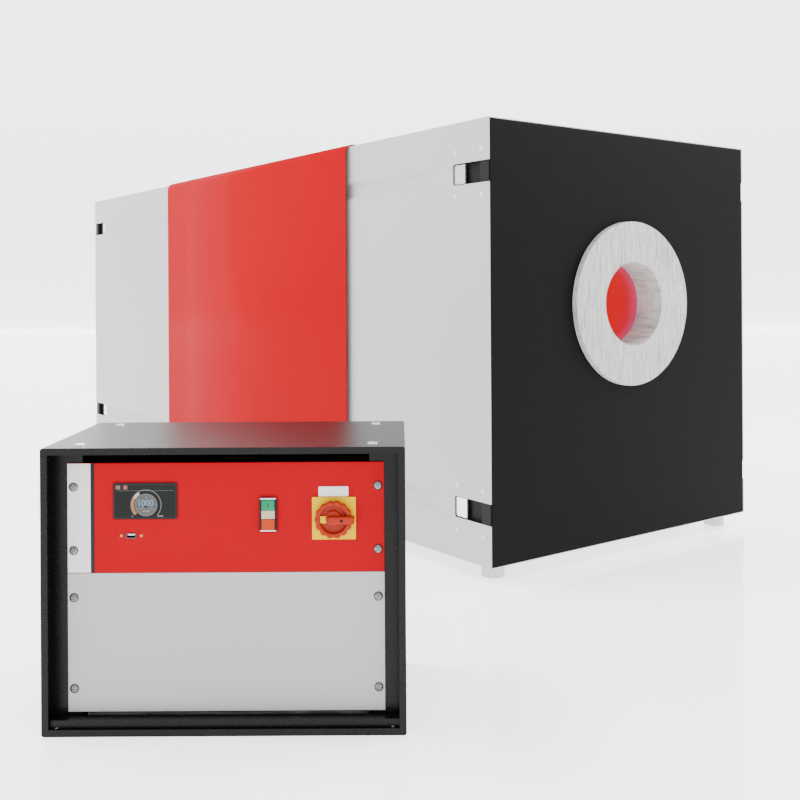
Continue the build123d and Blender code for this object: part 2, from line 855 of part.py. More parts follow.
# Rack angles carry both panels, with a tapped hole behind each screw
with BuildPart() as rack_angles:
    for side in (-1, 1):
        with BuildSketch(front_plane(panel_back)):
            with Locations((side * (cabinet_inner_width / 2 - rack_flange / 2), cabinet_middle)):
                Rectangle(rack_flange, cabinet_inner_height)
            with Locations(*[(side * screw_x, height) for height in screw_heights]):
                Circle(screw_radius + screw_clearance / 2, mode=Mode.SUBTRACT)
        extrude(amount=-rack_sheet)
        with BuildSketch(front_plane(panel_back)):
            with Locations((side * (cabinet_inner_width - rack_sheet) / 2, cabinet_middle)):
                Rectangle(rack_sheet, cabinet_inner_height)
        extrude(amount=-rack_return)
rack_angles.part.label = "rack_angles"
export_step(rack_angles.part, "parts/rack_angles.step")

# Upper control panel with its cut-outs
opening_width = button_plate_width - 2 * opening_inset
opening_height = button_plate_height - 2 * opening_inset
contact_cavity = button_thickness - button_proud + button_travel + cap_end_gap - panel_thickness
controller_width = display_width - 2 * controller_inset
controller_height = display_height - 2 * controller_inset
upper_bottom = panel_split + panel_gap / 2
with BuildPart() as control_panel:
    with BuildSketch(front_plane(panel_recess)):
        with Locations((0, (panel_top + upper_bottom) / 2)):
            Rectangle(panel_width, panel_top - upper_bottom)
        with Locations((display_x, display_z)):
            Rectangle(controller_width, controller_height, mode=Mode.SUBTRACT)
        with Locations((port_x, port_z)):
            Rectangle(port_width - port_proud, port_height - port_proud, mode=Mode.SUBTRACT)
        with Locations((button_x, button_z)):
            Rectangle(opening_width, opening_height, mode=Mode.SUBTRACT)
        with Locations((switch_x, switch_z)):
            Circle(shaft_radius + shaft_hole_clearance, mode=Mode.SUBTRACT)
        for side in (-1, 1):
            with Locations(*[(side * screw_x, height) for height in screw_heights[2:]]):
                Circle(screw_radius + screw_clearance, mode=Mode.SUBTRACT)
    extrude(amount=-panel_thickness)
control_panel.part.label = "control_panel"
export_step(control_panel.part, "parts/control_panel.step")

lower_top = panel_split - panel_gap / 2
with BuildPart() as lower_panel:
    with BuildSketch(front_plane(panel_recess)):
        with Locations((0, (lower_top + panel_bottom) / 2)):
            Rectangle(panel_width, lower_top - panel_bottom)
        for side in (-1, 1):
            with Locations(*[(side * screw_x, height) for height in screw_heights[:2]]):
                Circle(screw_radius + screw_clearance, mode=Mode.SUBTRACT)
    extrude(amount=-panel_thickness)
lower_panel.part.label = "lower_panel"
export_step(lower_panel.part, "parts/lower_panel.step")

# Panel screws: domed slotted heads with their shanks in the rack angles
with BuildPart() as panel_screws:
    for side in (-1, 1):
        for height in screw_heights:
            with BuildSketch(front_plane(panel_recess)):
                with Locations((side * screw_x, height)):
                    Circle(screw_head_radius)
            extrude(amount=screw_head_height, taper=screw_head_taper)
            with BuildSketch(front_plane(panel_recess)):
                with Locations((side * screw_x, height)):
                    Circle(screw_radius)
            extrude(amount=-screw_length)
            with BuildSketch(front_plane(panel_recess - screw_head_height)):
                with Locations(Location((side * screw_x, height), screw_slot_turn)):
                    Rectangle(2 * screw_head_radius, screw_slot)
            extrude(amount=-screw_slot, mode=Mode.SUBTRACT)
panel_screws.part.label = "panel_screws"
export_step(panel_screws.part, "parts/panel_screws.step")

# Display: bezel, glass and the controller body behind the panel
with BuildPart() as display_bezel:
    with BuildSketch(front_plane(panel_recess)):
        with Locations((display_x, display_z)):
            RectangleRounded(display_width, display_height, display_corner)
            Rectangle(display_width - 2 * display_border, display_height - 2 * display_border,
                      mode=Mode.SUBTRACT)
    extrude(amount=display_proud)
display_bezel.part.label = "display_bezel"
export_step(display_bezel.part, "parts/display_bezel.step")

with BuildPart() as display_glass:
    with BuildSketch(front_plane(panel_recess)):
        with Locations((display_x, display_z)):
            Rectangle(display_width - 2 * display_border, display_height - 2 * display_border)
    extrude(amount=display_proud - glass_sink)
display_glass.part.label = "display_glass"
export_step(display_glass.part, "parts/display_glass.step")

with BuildPart() as controller_body:
    with BuildSketch(front_plane(panel_recess)):
        with Locations((display_x, display_z)):
            Rectangle(controller_width, controller_height)
    extrude(amount=-controller_depth)
controller_body.part.label = "controller_body"
export_step(controller_body.part, "parts/controller_body.step")

with BuildPart() as memory_port:
    with BuildSketch(front_plane(panel_recess)):
        with Locations((port_x, port_z)):
            Rectangle(port_width, port_height)
    extrude(amount=port_proud)
    with BuildSketch(front_plane(panel_recess)):
        with Locations((port_x, port_z)):
            Rectangle(port_width - port_proud, port_height - port_proud)
    extrude(amount=-port_depth)
    with BuildSketch(front_plane(panel_recess - port_proud)):
        with Locations((port_x, port_z)):
            Rectangle(port_width - 2 * port_proud, port_height - 2 * port_proud)
    extrude(amount=-port_depth / 2, mode=Mode.SUBTRACT)
memory_port.part.label = "memory_port"
export_step(memory_port.part, "parts/memory_port.step")

# Double push-button: plate with a window, two caps that travel and a fixed lens between them
button_centres = (button_height + lens_height) / 2 + cap_spacing
button_levels = (button_z + button_centres, button_z - button_centres)
window_height = 2 * (button_centres + button_height / 2 + button_gap)
with BuildPart() as button_plate:
    with BuildSketch(front_plane(panel_recess)):
        with Locations((button_x, button_z)):
            RectangleRounded(button_plate_width, button_plate_height, button_plate_corner)
            Rectangle(button_width + 2 * button_gap, window_height, mode=Mode.SUBTRACT)
    extrude(amount=button_plate_proud)
button_plate.part.label = "button_plate"
export_step(button_plate.part, "parts/button_plate.step")


def button_cap(cap_z):
    """Rounded cap with its stem, standing proud of the plate, at this height."""
    with BuildPart() as cap:
        with BuildSketch(front_plane(panel_recess - button_proud)):
            with Locations((button_x, cap_z)):
                Rectangle(button_width, button_height)
        extrude(amount=-button_thickness)
        fillet(cap.faces().sort_by(Axis(front_plane(0).origin, cabinet_out))[-1].edges(), button_edge)
        with BuildSketch(front_plane(panel_recess - button_proud + button_thickness)):
            with Locations((button_x, cap_z)):
                Circle(stem_radius)
        extrude(amount=-stem_length)
    return cap


green_button = button_cap(button_levels[0])
green_button.part.label = "green_button"
export_step(green_button.part, "parts/green_button.step")

orange_button = button_cap(button_levels[1])
orange_button.part.label = "orange_button"
export_step(orange_button.part, "parts/orange_button.step")

with BuildPart() as button_lens:
    with BuildSketch(front_plane(panel_recess - lens_proud)):
        with Locations((button_x, button_z)):
            Rectangle(button_width, lens_height)
    extrude(amount=-lens_proud - panel_thickness - contact_cavity)
button_lens.part.label = "button_lens"
export_step(button_lens.part, "parts/button_lens.step")

with BuildPart() as contact_block:
    with BuildSketch(front_plane(panel_back)):
        with Locations((button_x, button_z)):
            Rectangle(button_plate_width, button_plate_height)
    extrude(amount=-contact_depth)
    with BuildSketch(front_plane(panel_back)):
        with Locations((button_x, button_z)):
            Rectangle(opening_width, opening_height)
    extrude(amount=-contact_cavity, mode=Mode.SUBTRACT)
    with BuildSketch(front_plane(panel_back + contact_cavity)):
        for cap_z in button_levels:
            with Locations((button_x, cap_z)):
                Circle(stem_radius + stem_fit)
    extrude(amount=-stem_length, mode=Mode.SUBTRACT)
contact_block.part.label = "contact_block"
export_step(contact_block.part, "parts/contact_block.step")

# Main switch: plate, body, shaft and a scalloped knob with a handle bar across its recess
plate_face = panel_recess - switch_plate_thickness
knob_base = plate_face - knob_lift
with BuildPart() as switch_plate:
    with BuildSketch(front_plane(panel_recess)):
        with Locations((switch_x, switch_z)):
            RectangleRounded(switch_plate_width, switch_plate_height, switch_plate_corner)
            Circle(shaft_radius + shaft_hole_clearance, mode=Mode.SUBTRACT)
    extrude(amount=switch_plate_thickness)
switch_plate.part.label = "switch_plate"
export_step(switch_plate.part, "parts/switch_plate.step")

with BuildPart() as switch_knob:
    with BuildSketch(front_plane(knob_base)):
        with Locations((switch_x, switch_z)):
            Circle(knob_radius)
            with PolarLocations(knob_radius + knob_scallop_radius / 2, knob_scallops,
                                180 / knob_scallops):
                Circle(knob_scallop_radius, mode=Mode.SUBTRACT)
    extrude(amount=knob_height)
    with BuildSketch(front_plane(knob_base - knob_height)):
        with Locations((switch_x, switch_z)):
            Circle(knob_recess_radius)
    extrude(amount=-knob_recess_depth, taper=knob_recess_taper, mode=Mode.SUBTRACT)
    with BuildSketch(front_plane(knob_base - knob_height + knob_recess_depth)):
        with Locations((switch_x + (handle_reach - handle_back) / 2, switch_z)):
            RectangleRounded(handle_reach + handle_back, handle_width, handle_corner)
    extrude(amount=handle_height - knob_height + knob_recess_depth, taper=handle_taper)
switch_knob.part.label = "switch_knob"
export_step(switch_knob.part, "parts/switch_knob.step")

with BuildPart() as knob_insert:
    with BuildSketch(front_plane(knob_base - knob_height + knob_recess_depth)):
        with Locations((switch_x - (insert_reach + handle_back) / 2, switch_z)):
            Rectangle(insert_reach - handle_back, insert_width)
    extrude(amount=insert_height)
knob_insert.part.label = "knob_insert"
export_step(knob_insert.part, "parts/knob_insert.step")

with BuildPart() as switch_shaft:
    with BuildSketch(front_plane(knob_base)):
        with Locations((switch_x, switch_z)):
            Circle(shaft_radius)
    extrude(amount=-shaft_length)
switch_shaft.part.label = "switch_shaft"
export_step(switch_shaft.part, "parts/switch_shaft.step")

with BuildPart() as switch_body:
    with BuildSketch(front_plane(panel_back)):
        with Locations((switch_x, switch_z)):
            RectangleRounded(switch_body_size, switch_body_size, device_edge)
    extrude(amount=-switch_body_depth)
    with BuildSketch(front_plane(panel_back)):
        with Locations((switch_x, switch_z)):
            Circle(shaft_radius + shaft_fit)
    extrude(amount=-shaft_length, mode=Mode.SUBTRACT)
switch_body.part.label = "switch_body"
export_step(switch_body.part, "parts/switch_body.step")

# Chassis tray on the cabinet's floor, with the power stack, transformer and contactor
tray_width = cabinet_inner_width - 2 * (rack_flange + tray_side_gap)
tray_middle = panel_back + tray_setback + tray_depth / 2
with BuildPart() as chassis_tray:
    with BuildSketch(shelf_plane(cabinet_sheet)):
        with Locations((0, tray_middle)):
            Rectangle(tray_width, tray_depth)
    extrude(amount=tray_lip)
    offset(amount=-tray_thickness, openings=chassis_tray.faces().sort_by(Axis.Z)[-1])
chassis_tray.part.label = "chassis_tray"
export_step(chassis_tray.part, "parts/chassis_tray.step")

tray_floor = cabinet_sheet + tray_thickness
tray_inner_half = tray_width / 2 - tray_thickness
transformer_width = 4 * core_limb
sink_width = 2 * tray_inner_half - transformer_width - contactor_width - 4 * device_gap
sink_x = device_gap + sink_width / 2 - tray_inner_half
transformer_x = sink_x + sink_width / 2 + device_gap + transformer_width / 2
contactor_x = tray_inner_half - device_gap - contactor_width / 2
with BuildPart() as heat_sink:
    with BuildSketch(front_plane(tray_middle - sink_depth / 2)):
        with Locations((sink_x, tray_floor + sink_base / 2)):
            Rectangle(sink_width, sink_base)
        with Locations((sink_x, tray_floor + sink_height / 2)):
            with GridLocations((sink_width - sink_fin_thickness) / (sink_fins - 1), 1, sink_fins, 1):
                Rectangle(sink_fin_thickness, sink_height)
    extrude(amount=-sink_depth)
heat_sink.part.label = "heat_sink"
export_step(heat_sink.part, "parts/heat_sink.step")

with BuildPart() as power_stack:
    with BuildSketch(shelf_plane(tray_floor + sink_height)):
        with Locations((sink_x, tray_middle)):
            Rectangle(sink_width, stack_depth)
    extrude(amount=stack_height)
    chamfer(power_stack.faces().sort_by(Axis.Z)[-1].edges(), device_edge)
power_stack.part.label = "power_stack"
export_step(power_stack.part, "parts/power_stack.step")

core_window = transformer_height - 2 * core_yoke
with BuildPart() as transformer_core:
    with BuildSketch(front_plane(tray_middle - transformer_depth / 2)):
        with Locations((transformer_x, tray_floor + transformer_height / 2)):
            Rectangle(transformer_width, transformer_height)
            with GridLocations(2 * core_limb, 1, 2, 1):
                Rectangle(core_limb, core_window, mode=Mode.SUBTRACT)
    extrude(amount=-transformer_depth)
transformer_core.part.label = "transformer_core"
export_step(transformer_core.part, "parts/transformer_core.step")

with BuildPart() as transformer_coil:
    with BuildSketch(shelf_plane(tray_floor + core_yoke + hot_clearance)):
        with Locations((transformer_x, tray_middle)):
            RectangleRounded(3 * core_limb - 2 * coil_side_gap, transformer_depth + 2 * coil_overhang,
                             coil_overhang)
            Rectangle(core_limb + 2 * hot_clearance, transformer_depth + 2 * hot_clearance,
                      mode=Mode.SUBTRACT)
    extrude(amount=core_window - 2 * hot_clearance)
transformer_coil.part.label = "transformer_coil"
export_step(transformer_coil.part, "parts/transformer_coil.step")

with BuildPart() as contactor:
    with BuildSketch(shelf_plane(tray_floor)):
        with Locations((contactor_x, tray_middle)):
            Rectangle(contactor_width, contactor_depth)
    extrude(amount=contactor_base_height)
    with BuildSketch(shelf_plane(tray_floor + contactor_base_height)):
        with Locations((contactor_x, tray_middle)):
            Rectangle(contactor_width, contactor_step_depth)
    extrude(amount=contactor_height - contactor_base_height)
contactor.part.label = "contactor"
export_step(contactor.part, "parts/contactor.step")

# Rear panel with ventilation slots and the sockets for the furnace's supply
rear_face = cabinet_depth - rear_panel_sheet
with BuildPart() as cabinet_rear_panel:
    with BuildSketch(front_plane(rear_face)):
        with Locations((0, cabinet_middle)):
            Rectangle(cabinet_inner_width, cabinet_inner_height)
        for side in (-1, 1):
            with Locations((side * cabinet_inner_width / 4, vent_z)):
                with GridLocations(1, vent_pitch, 1, vent_slots):
                    SlotOverall(vent_slot_length, vent_slot_width, mode=Mode.SUBTRACT)
        with Locations((-socket_spacing, socket_z), (0, socket_z), (socket_spacing, socket_z)):
            Circle(socket_radius + passage_clearance, mode=Mode.SUBTRACT)
    extrude(amount=-rear_panel_sheet)
cabinet_rear_panel.part.label = "cabinet_rear_panel"
export_step(cabinet_rear_panel.part, "parts/cabinet_rear_panel.step")

with BuildPart() as supply_sockets:
    for socket_x in (-socket_spacing, 0.0, socket_spacing):
        with BuildSketch(front_plane(cabinet_depth)):
            with Locations((socket_x, socket_z)):
                RectangleRounded(socket_flange, socket_flange, device_edge)
        extrude(amount=-socket_flange_thickness)
        with BuildSketch(front_plane(cabinet_depth - socket_inside)):
            with Locations((socket_x, socket_z)):
                Circle(socket_radius)
        extrude(amount=-socket_inside - socket_proud)
        with BuildSketch(front_plane(cabinet_depth + socket_proud)):
            with Locations((socket_x, socket_z)):
                Circle(socket_radius - device_edge)
        extrude(amount=socket_proud, mode=Mode.SUBTRACT)
supply_sockets.part.label = "supply_sockets"
export_step(supply_sockets.part, "parts/supply_sockets.step")

with BuildPart() as cabinet_studs:
    with BuildSketch(shelf_plane(cabinet_height)):
        with Locations((0, cabinet_depth / 2)):
            with GridLocations(cabinet_width - 2 * stud_inset_x, cabinet_depth - 2 * stud_inset_y, 2, 2):
                Circle(stud_radius)
    extrude(amount=stud_height, taper=stud_taper)
cabinet_studs.part.label = "cabinet_studs"
export_step(cabinet_studs.part, "parts/cabinet_studs.step")
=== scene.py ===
from math import radians

import bmesh
import bpy
import numpy as np
from mathutils import Matrix, Vector


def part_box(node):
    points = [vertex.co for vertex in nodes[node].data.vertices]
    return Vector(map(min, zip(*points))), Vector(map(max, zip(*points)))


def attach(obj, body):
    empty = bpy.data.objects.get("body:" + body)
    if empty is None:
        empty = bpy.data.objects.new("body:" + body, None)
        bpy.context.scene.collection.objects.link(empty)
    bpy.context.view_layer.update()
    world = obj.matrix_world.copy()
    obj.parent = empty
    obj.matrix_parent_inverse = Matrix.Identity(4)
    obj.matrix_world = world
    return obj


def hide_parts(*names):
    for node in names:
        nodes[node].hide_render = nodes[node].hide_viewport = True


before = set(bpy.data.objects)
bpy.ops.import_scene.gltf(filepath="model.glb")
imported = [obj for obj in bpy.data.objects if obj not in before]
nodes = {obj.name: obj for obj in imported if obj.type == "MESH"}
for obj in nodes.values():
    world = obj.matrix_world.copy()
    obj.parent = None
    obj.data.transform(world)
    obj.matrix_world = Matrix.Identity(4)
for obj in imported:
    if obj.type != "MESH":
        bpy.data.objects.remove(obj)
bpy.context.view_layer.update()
ROOT = "case_and_cabinet"
MM = 0.001
QUARTER = np.pi / 2
FULL_TURN = 2 * np.pi
UP = np.array([0.0, 0.0, 1.0])


def box_mm(name):
    """Lowest and highest corner of a node, in mm."""
    return [np.array(corner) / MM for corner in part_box(name)]


# Furnace case, from the frame: the channels run at one distance from both long edges
case_low, case_high = box_mm("front_skin")
FRONT_Y = case_low[1]
REAR_Y = box_mm("rear_skin")[1][1]
HALF_LENGTH = case_high[0]
CHANNEL_INSET = 92.5
CHANNEL_LEVELS = (case_low[2] + CHANNEL_INSET, case_high[2] - CHANNEL_INSET)

# Control cabinet: its own right, the normal of its front, and its place on the floor
CABINET_TURN = radians(53.885)
RIGHT = np.array([np.cos(CABINET_TURN), np.sin(CABINET_TURN), 0.0])
OUT = np.array([np.sin(CABINET_TURN), -np.cos(CABINET_TURN), 0.0])
FLOOR_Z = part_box("feet")[0][2]
CABINET_PLACE = np.array([1.2414, -0.9843, FLOOR_Z])


def cabinet_box(name):
    """Lowest and highest corner of a node in mm to the cabinet's right, up, and out of its front."""
    mesh = nodes[name].data
    points = np.empty(len(mesh.vertices) * 3)
    mesh.vertices.foreach_get("co", points)
    own = (points.reshape(-1, 3) - CABINET_PLACE) / MM @ np.column_stack([RIGHT, UP, OUT])
    return np.round(own.min(0), 2), np.round(own.max(0), 2)


def cabinet_centre(name):
    """Middle of a node's front in mm across and up."""
    low, high = cabinet_box(name)
    return (low[0] + high[0]) / 2, (low[1] + high[1]) / 2


def cabinet_front(depth):
    """Plane parallel to the cabinet's front, depth mm behind its lip: origin, right, up, out."""
    return CABINET_PLACE - OUT * depth * MM, RIGHT, UP, OUT


def cabinet_shelf(height):
    """Horizontal plane in the cabinet at this height in mm: origin, right, back, up."""
    return CABINET_PLACE + UP * height * MM, RIGHT, -OUT, UP


def case_side(side):
    """Outer face of a long side, -1 front and 1 rear: origin, along the tube, up, out."""
    along = np.array([1.0, 0.0, 0.0])
    return np.array([0.0, FRONT_Y if side < 0 else REAR_Y, 0.0]) * MM, along, UP, np.array([0.0, side, 0.0])


def case_end(x, end):
    """Plane across the tube at x in mm: origin, to the rear, up, out of that end."""
    return np.array([x, 0.0, 0.0]) * MM, np.array([0.0, 1.0, 0.0]), UP, np.array([end, 0.0, 0.0])


def placed(points, plane):
    """Points given in mm on a plane (across, up, out) as points of the frame in metres."""
    origin, across, up, out = plane
    points = np.asarray(points, dtype=float) * MM
    return origin + points[..., 0:1] * across + points[..., 1:2] * up + points[..., 2:3] * out


# The panels' common face, and heights above it
PANEL_LOW, PANEL_HIGH = cabinet_box("control_panel")
LOWER_LOW, LOWER_HIGH = cabinet_box("lower_panel")
PANEL_DEPTH = -PANEL_HIGH[2]
PANEL = cabinet_front(PANEL_DEPTH)


def rise(name):
    """Height of a node's front face above the panels, in mm."""
    return cabinet_box(name)[1][2] + PANEL_DEPTH


# Meshes
DOUBLE_DISTANCE = 1e-7
FLAT_DISTANCE = 1e-8
SMOOTH_ANGLE = radians(32)
LEAST_CORNER = 0.02
EDGE_STEPS = 5


def closed_mesh(name, points, faces, material, body=ROOT, smooth=True):
    """Mesh from points in metres and lists of corners, its faces turned outwards, riding on a body."""
    mesh = bpy.data.meshes.new(name)
    mesh.from_pydata(points.tolist(), [], faces)
    work = bmesh.new()
    work.from_mesh(mesh)
    bmesh.ops.remove_doubles(work, verts=work.verts, dist=DOUBLE_DISTANCE)
    bmesh.ops.dissolve_degenerate(work, dist=FLAT_DISTANCE, edges=work.edges)
    bmesh.ops.recalc_face_normals(work, faces=work.faces)
    work.to_mesh(mesh)
    work.free()
    mesh.polygons.foreach_set("use_smooth", np.full(len(mesh.polygons), smooth))
    piece = bpy.data.objects.new(name, mesh)
    bpy.context.scene.collection.objects.link(piece)
    piece.data.materials.append(material)
    if smooth:
        bpy.context.view_layer.objects.active = piece
        piece.select_set(True)
        bpy.ops.object.shade_smooth_by_angle(angle=SMOOTH_ANGLE)
        piece.select_set(False)
    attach(piece, body)
    return piece


def grid_faces(rows, columns, wrap_rows, wrap_columns):
    """Quads of a grid of rows by columns, joined round where it wraps."""
    index = np.arange(rows * columns).reshape(rows, columns)
    if wrap_rows:
        index = np.vstack([index, index[:1]])
    if wrap_columns:
        index = np.hstack([index, index[:, :1]])
    return np.stack([index[:-1, :-1], index[1:, :-1], index[1:, 1:], index[:-1, 1:]], -1).reshape(-1, 4)


def grid_piece(name, grid, plane, material, wrap_rows=False, body=ROOT):
    """Closed surface from a grid of points in mm on a plane, whose columns join round."""
    faces = grid_faces(grid.shape[0], grid.shape[1], wrap_rows, True).tolist()
    return closed_mesh(name, placed(grid.reshape(-1, 3), plane), faces, material, body)


def lathe(profile, centre, sides):
    """Surface of revolution about the out axis: radius and height of the profile turned round.

    The profile runs from pole to pole, or closes on itself for a ring.
    """
    profile = np.asarray(profile, dtype=float)
    angle = np.linspace(0.0, FULL_TURN, sides, endpoint=False)
    radius = profile[:, 0:1]
    height = np.broadcast_to(profile[:, 1:2], (len(profile), sides))
    return np.stack([centre[0] + radius * np.cos(angle), centre[1] + radius * np.sin(angle), height], -1)


def repeated_piece(name, grids, plane, material, wrap_rows=False, body=ROOT):
    """One object with a closed surface for each grid of points, the grids being of one size."""
    rows, columns = grids[0].shape[:2]
    quads = grid_faces(rows, columns, wrap_rows, True)
    faces = np.vstack([quads + number * rows * columns for number in range(len(grids))])
    points = np.vstack([grid.reshape(-1, 3) for grid in grids])
    return closed_mesh(name, placed(points, plane), faces.tolist(), material, body)


def lathe_piece(name, profile, centres, plane, material, sides, ring=False, body=ROOT):
    """One object with a turned solid at each centre."""
    grids = [lathe(profile, centre, sides) for centre in centres]
    return repeated_piece(name, grids, plane, material, ring, body)


def rounded_outline(size, corner, inset, steps):
    """Rounded rectangle about the origin: four quarter arcs of the corner radius less the inset."""
    radius = max(corner - inset, LEAST_CORNER)
    half = np.array(size) / 2 - inset - radius
    arc = np.linspace(0.0, QUARTER, steps)
    parts = []
    for turn, (side_x, side_y) in enumerate(((1, 1), (-1, 1), (-1, -1), (1, -1))):
        angle = arc + turn * QUARTER
        parts.append(np.stack([side_x * half[0] + radius * np.cos(angle),
                               side_y * half[1] + radius * np.sin(angle)], -1))
    return np.vstack(parts)


def stacked(outlines, heights):
    """Closed outlines at rising heights, closed by a pole at each end."""
    count = len(outlines[0])
    rows = [np.column_stack([outline, np.full(count, height)]) for outline, height in zip(outlines, heights)]
    low = np.tile(np.append(rows[0][:, :2].mean(0), heights[0]), (count, 1))
    high = np.tile(np.append(rows[-1][:, :2].mean(0), heights[-1]), (count, 1))
    return np.stack([low] + rows + [high])


def slab_piece(name, centre, size, levels, material, corner, edge, plane=PANEL, body=ROOT,
               steps=6):
    """Plate between two levels, its corners rounded, its front edge a quarter circle.

    At t from 0 to a quarter turn the inset is edge (1 - cos t), the height top - edge + edge sin t.
    """
    bend = np.linspace(0.0, QUARTER, EDGE_STEPS)
    insets = [0.0] + list(edge * (1 - np.cos(bend)))
    heights = [levels[0]] + list(levels[1] - edge + edge * np.sin(bend))
    outlines = [rounded_outline(size, corner, inset, steps) + np.asarray(centre) for inset in insets]
    return grid_piece(name, stacked(outlines, heights), plane, material, False, body)


def arc_piece(name, centre, radii, angles, levels, material, plane=PANEL, steps=64):
    """Flat band along an arc: two radii between two angles in degrees, closed at both ends."""
    angle = np.radians(np.linspace(angles[0], angles[1], steps))
    low, high = levels
    section = ((radii[0], low), (radii[1], low), (radii[1], high), (radii[0], high))
    rows = [np.stack([centre[0] + radius * np.cos(angle), centre[1] + radius * np.sin(angle),
                      np.full(steps, height)], -1) for radius, height in section]
    corners = len(section)
    faces = grid_faces(steps, corners, False, True).tolist()
    last = corners * (steps - 1)
    faces += [list(range(corners)), [last + corner for corner in reversed(range(corners))]]
    points = np.stack(rows, 1).reshape(-1, 3)
    return closed_mesh(name, placed(points, plane), faces, material, smooth=False)


def smooth_step(value):
    """Rises from 0 to 1 with level ends: 3 v squared less 2 v cubed."""
    value = np.clip(value, 0.0, 1.0)
    return value * value * (3 - 2 * value)


# Materials
COAT_ROUGHNESS = 0.1


def shader(name, colour, roughness=0.5, metallic=0.0, specular=0.5, coat=0.0):
    """Principled material with its constants on its own sockets."""
    material = bpy.data.materials.new(name)
    material.use_nodes = True
    tree = material.node_tree
    principled = tree.nodes["Principled BSDF"]
    principled.inputs["Base Color"].default_value = (*colour, 1.0)
    principled.inputs["Roughness"].default_value = roughness
    principled.inputs["Metallic"].default_value = metallic
    principled.inputs["Specular IOR Level"].default_value = specular
    principled.inputs["Coat Weight"].default_value = coat
    principled.inputs["Coat Roughness"].default_value = COAT_ROUGHNESS
    material.diffuse_color = (*colour, 1.0)
    return material, tree, principled


def pattern(tree, scale, stretch=(1.0, 1.0, 1.0), detail=3.0, roughness=0.5):
    """Value of a noise on stretched object coordinates."""
    coordinates = tree.nodes.new("ShaderNodeTexCoord")
    mapping = tree.nodes.new("ShaderNodeMapping")
    noise = tree.nodes.new("ShaderNodeTexNoise")
    mapping.inputs["Scale"].default_value = stretch
    noise.inputs["Scale"].default_value = scale
    noise.inputs["Detail"].default_value = detail
    noise.inputs["Roughness"].default_value = roughness
    tree.links.new(coordinates.outputs["Object"], mapping.inputs["Vector"])
    tree.links.new(mapping.outputs["Vector"], noise.inputs["Vector"])
    return noise.outputs["Fac"]


def ramp(tree, value, stops):
    """Colour ramp over a value: pairs of place and colour."""
    node = tree.nodes.new("ShaderNodeValToRGB")
    elements = node.color_ramp.elements
    while len(elements) < len(stops):
        elements.new(0.5)
    for element, (place, colour) in zip(elements, stops):
        element.position = place
        element.color = (*colour, 1.0)
    tree.links.new(value, node.inputs["Fac"])
    return node.outputs["Color"]


def grey(level):
    """Colour with three equal channels."""
    return (level, level, level)


def shade(colour, factor):
    """Colour times a factor, each channel at most 1."""
    return tuple(min(channel * factor, 1.0) for channel in colour)


def two_tones(tree, value, colour, darker, lighter, low=0.3, high=0.7):
    """Ramp from a darker to a lighter shade of a colour between two places of the value."""
    return ramp(tree, value, ((low, shade(colour, darker)), (high, shade(colour, lighter))))


def bump(tree, principled, value, strength, distance):
    """Bump from a value, added to any bump that the shader already has."""
    node = tree.nodes.new("ShaderNodeBump")
    node.inputs["Strength"].default_value = strength
    node.inputs["Distance"].default_value = distance
    tree.links.new(value, node.inputs["Height"])
    earlier = principled.inputs["Normal"].links
    if earlier:
        tree.links.new(earlier[0].from_socket, node.inputs["Normal"])
    tree.links.new(node.outputs["Normal"], principled.inputs["Normal"])


def coated(name, colour, roughness, grain, grain_depth, drift=0.03, specular=0.5, coat=0.0):
    """Powder coat: slow drift of tone, fine grain in the gloss and an orange-peel bump."""
    material, tree, principled = shader(name, colour, roughness, specular=specular, coat=coat)
    slow = pattern(tree, scale=2.2, detail=4.0)
    fine = pattern(tree, scale=grain, detail=2.0)
    tones = two_tones(tree, slow, colour, 1 - drift, 1 + drift)
    gloss = two_tones(tree, fine, grey(roughness), 0.88, 1.12, low=0.35, high=0.65)
    tree.links.new(tones, principled.inputs["Base Color"])
    tree.links.new(gloss, principled.inputs["Roughness"])
    bump(tree, principled, fine, strength=0.25, distance=grain_depth)
    return material


def textured_black(name, colour, roughness, peak_highlight, specular):
    """Black structure paint: coarse and fine grain, lighter on the peaks of its coarse grain as painted
    highlight and darker in its hollows as painted shade.
    """
    material, tree, principled = shader(name, colour, roughness, specular=specular)
    coarse = pattern(tree, scale=520.0, detail=4.0, roughness=0.65)
    fine = pattern(tree, scale=1500.0, detail=2.0)
    # Tone follows the coarse bump: painted shade in its hollows, painted highlight on its peaks
    tones = ramp(tree, coarse, ((0.3, shade(colour, 0.7)), (0.58, colour), (0.72, peak_highlight)))
    tree.links.new(tones, principled.inputs["Base Color"])
    bump(tree, principled, coarse, strength=0.5, distance=0.0004)
    bump(tree, principled, fine, strength=0.3, distance=0.0001)
    return material


def bare_metal(name, colour, roughness, brushed=(1.0, 1.0, 1.0)):
    """Metal with brush lines along the least stretched axis and a cloudy tone."""
    material, tree, principled = shader(name, colour, roughness, metallic=1.0)
    lines = pattern(tree, scale=160.0, stretch=brushed, detail=3.0)
    clouds = pattern(tree, scale=9.0, detail=4.0)
    tones = two_tones(tree, clouds, colour, 0.82, 1.08)
    gloss = two_tones(tree, lines, grey(roughness), 0.75, 1.3)
    tree.links.new(tones, principled.inputs["Base Color"])
    tree.links.new(gloss, principled.inputs["Roughness"])
    bump(tree, principled, lines, strength=0.3, distance=0.00003)
    return material


def moulded(name, colour, roughness, grain=900.0, coat=0.0, specular=0.5):
    """Moulded plastic: fine grain, faint flow marks."""
    material, tree, principled = shader(name, colour, roughness, specular=specular, coat=coat)
    flow = pattern(tree, scale=40.0, stretch=(1.0, 1.0, 3.0), detail=3.0)
    fine = pattern(tree, scale=grain, detail=2.0)
    tree.links.new(two_tones(tree, flow, colour, 0.95, 1.05), principled.inputs["Base Color"])
    bump(tree, principled, fine, strength=0.2, distance=0.00005)
    return material


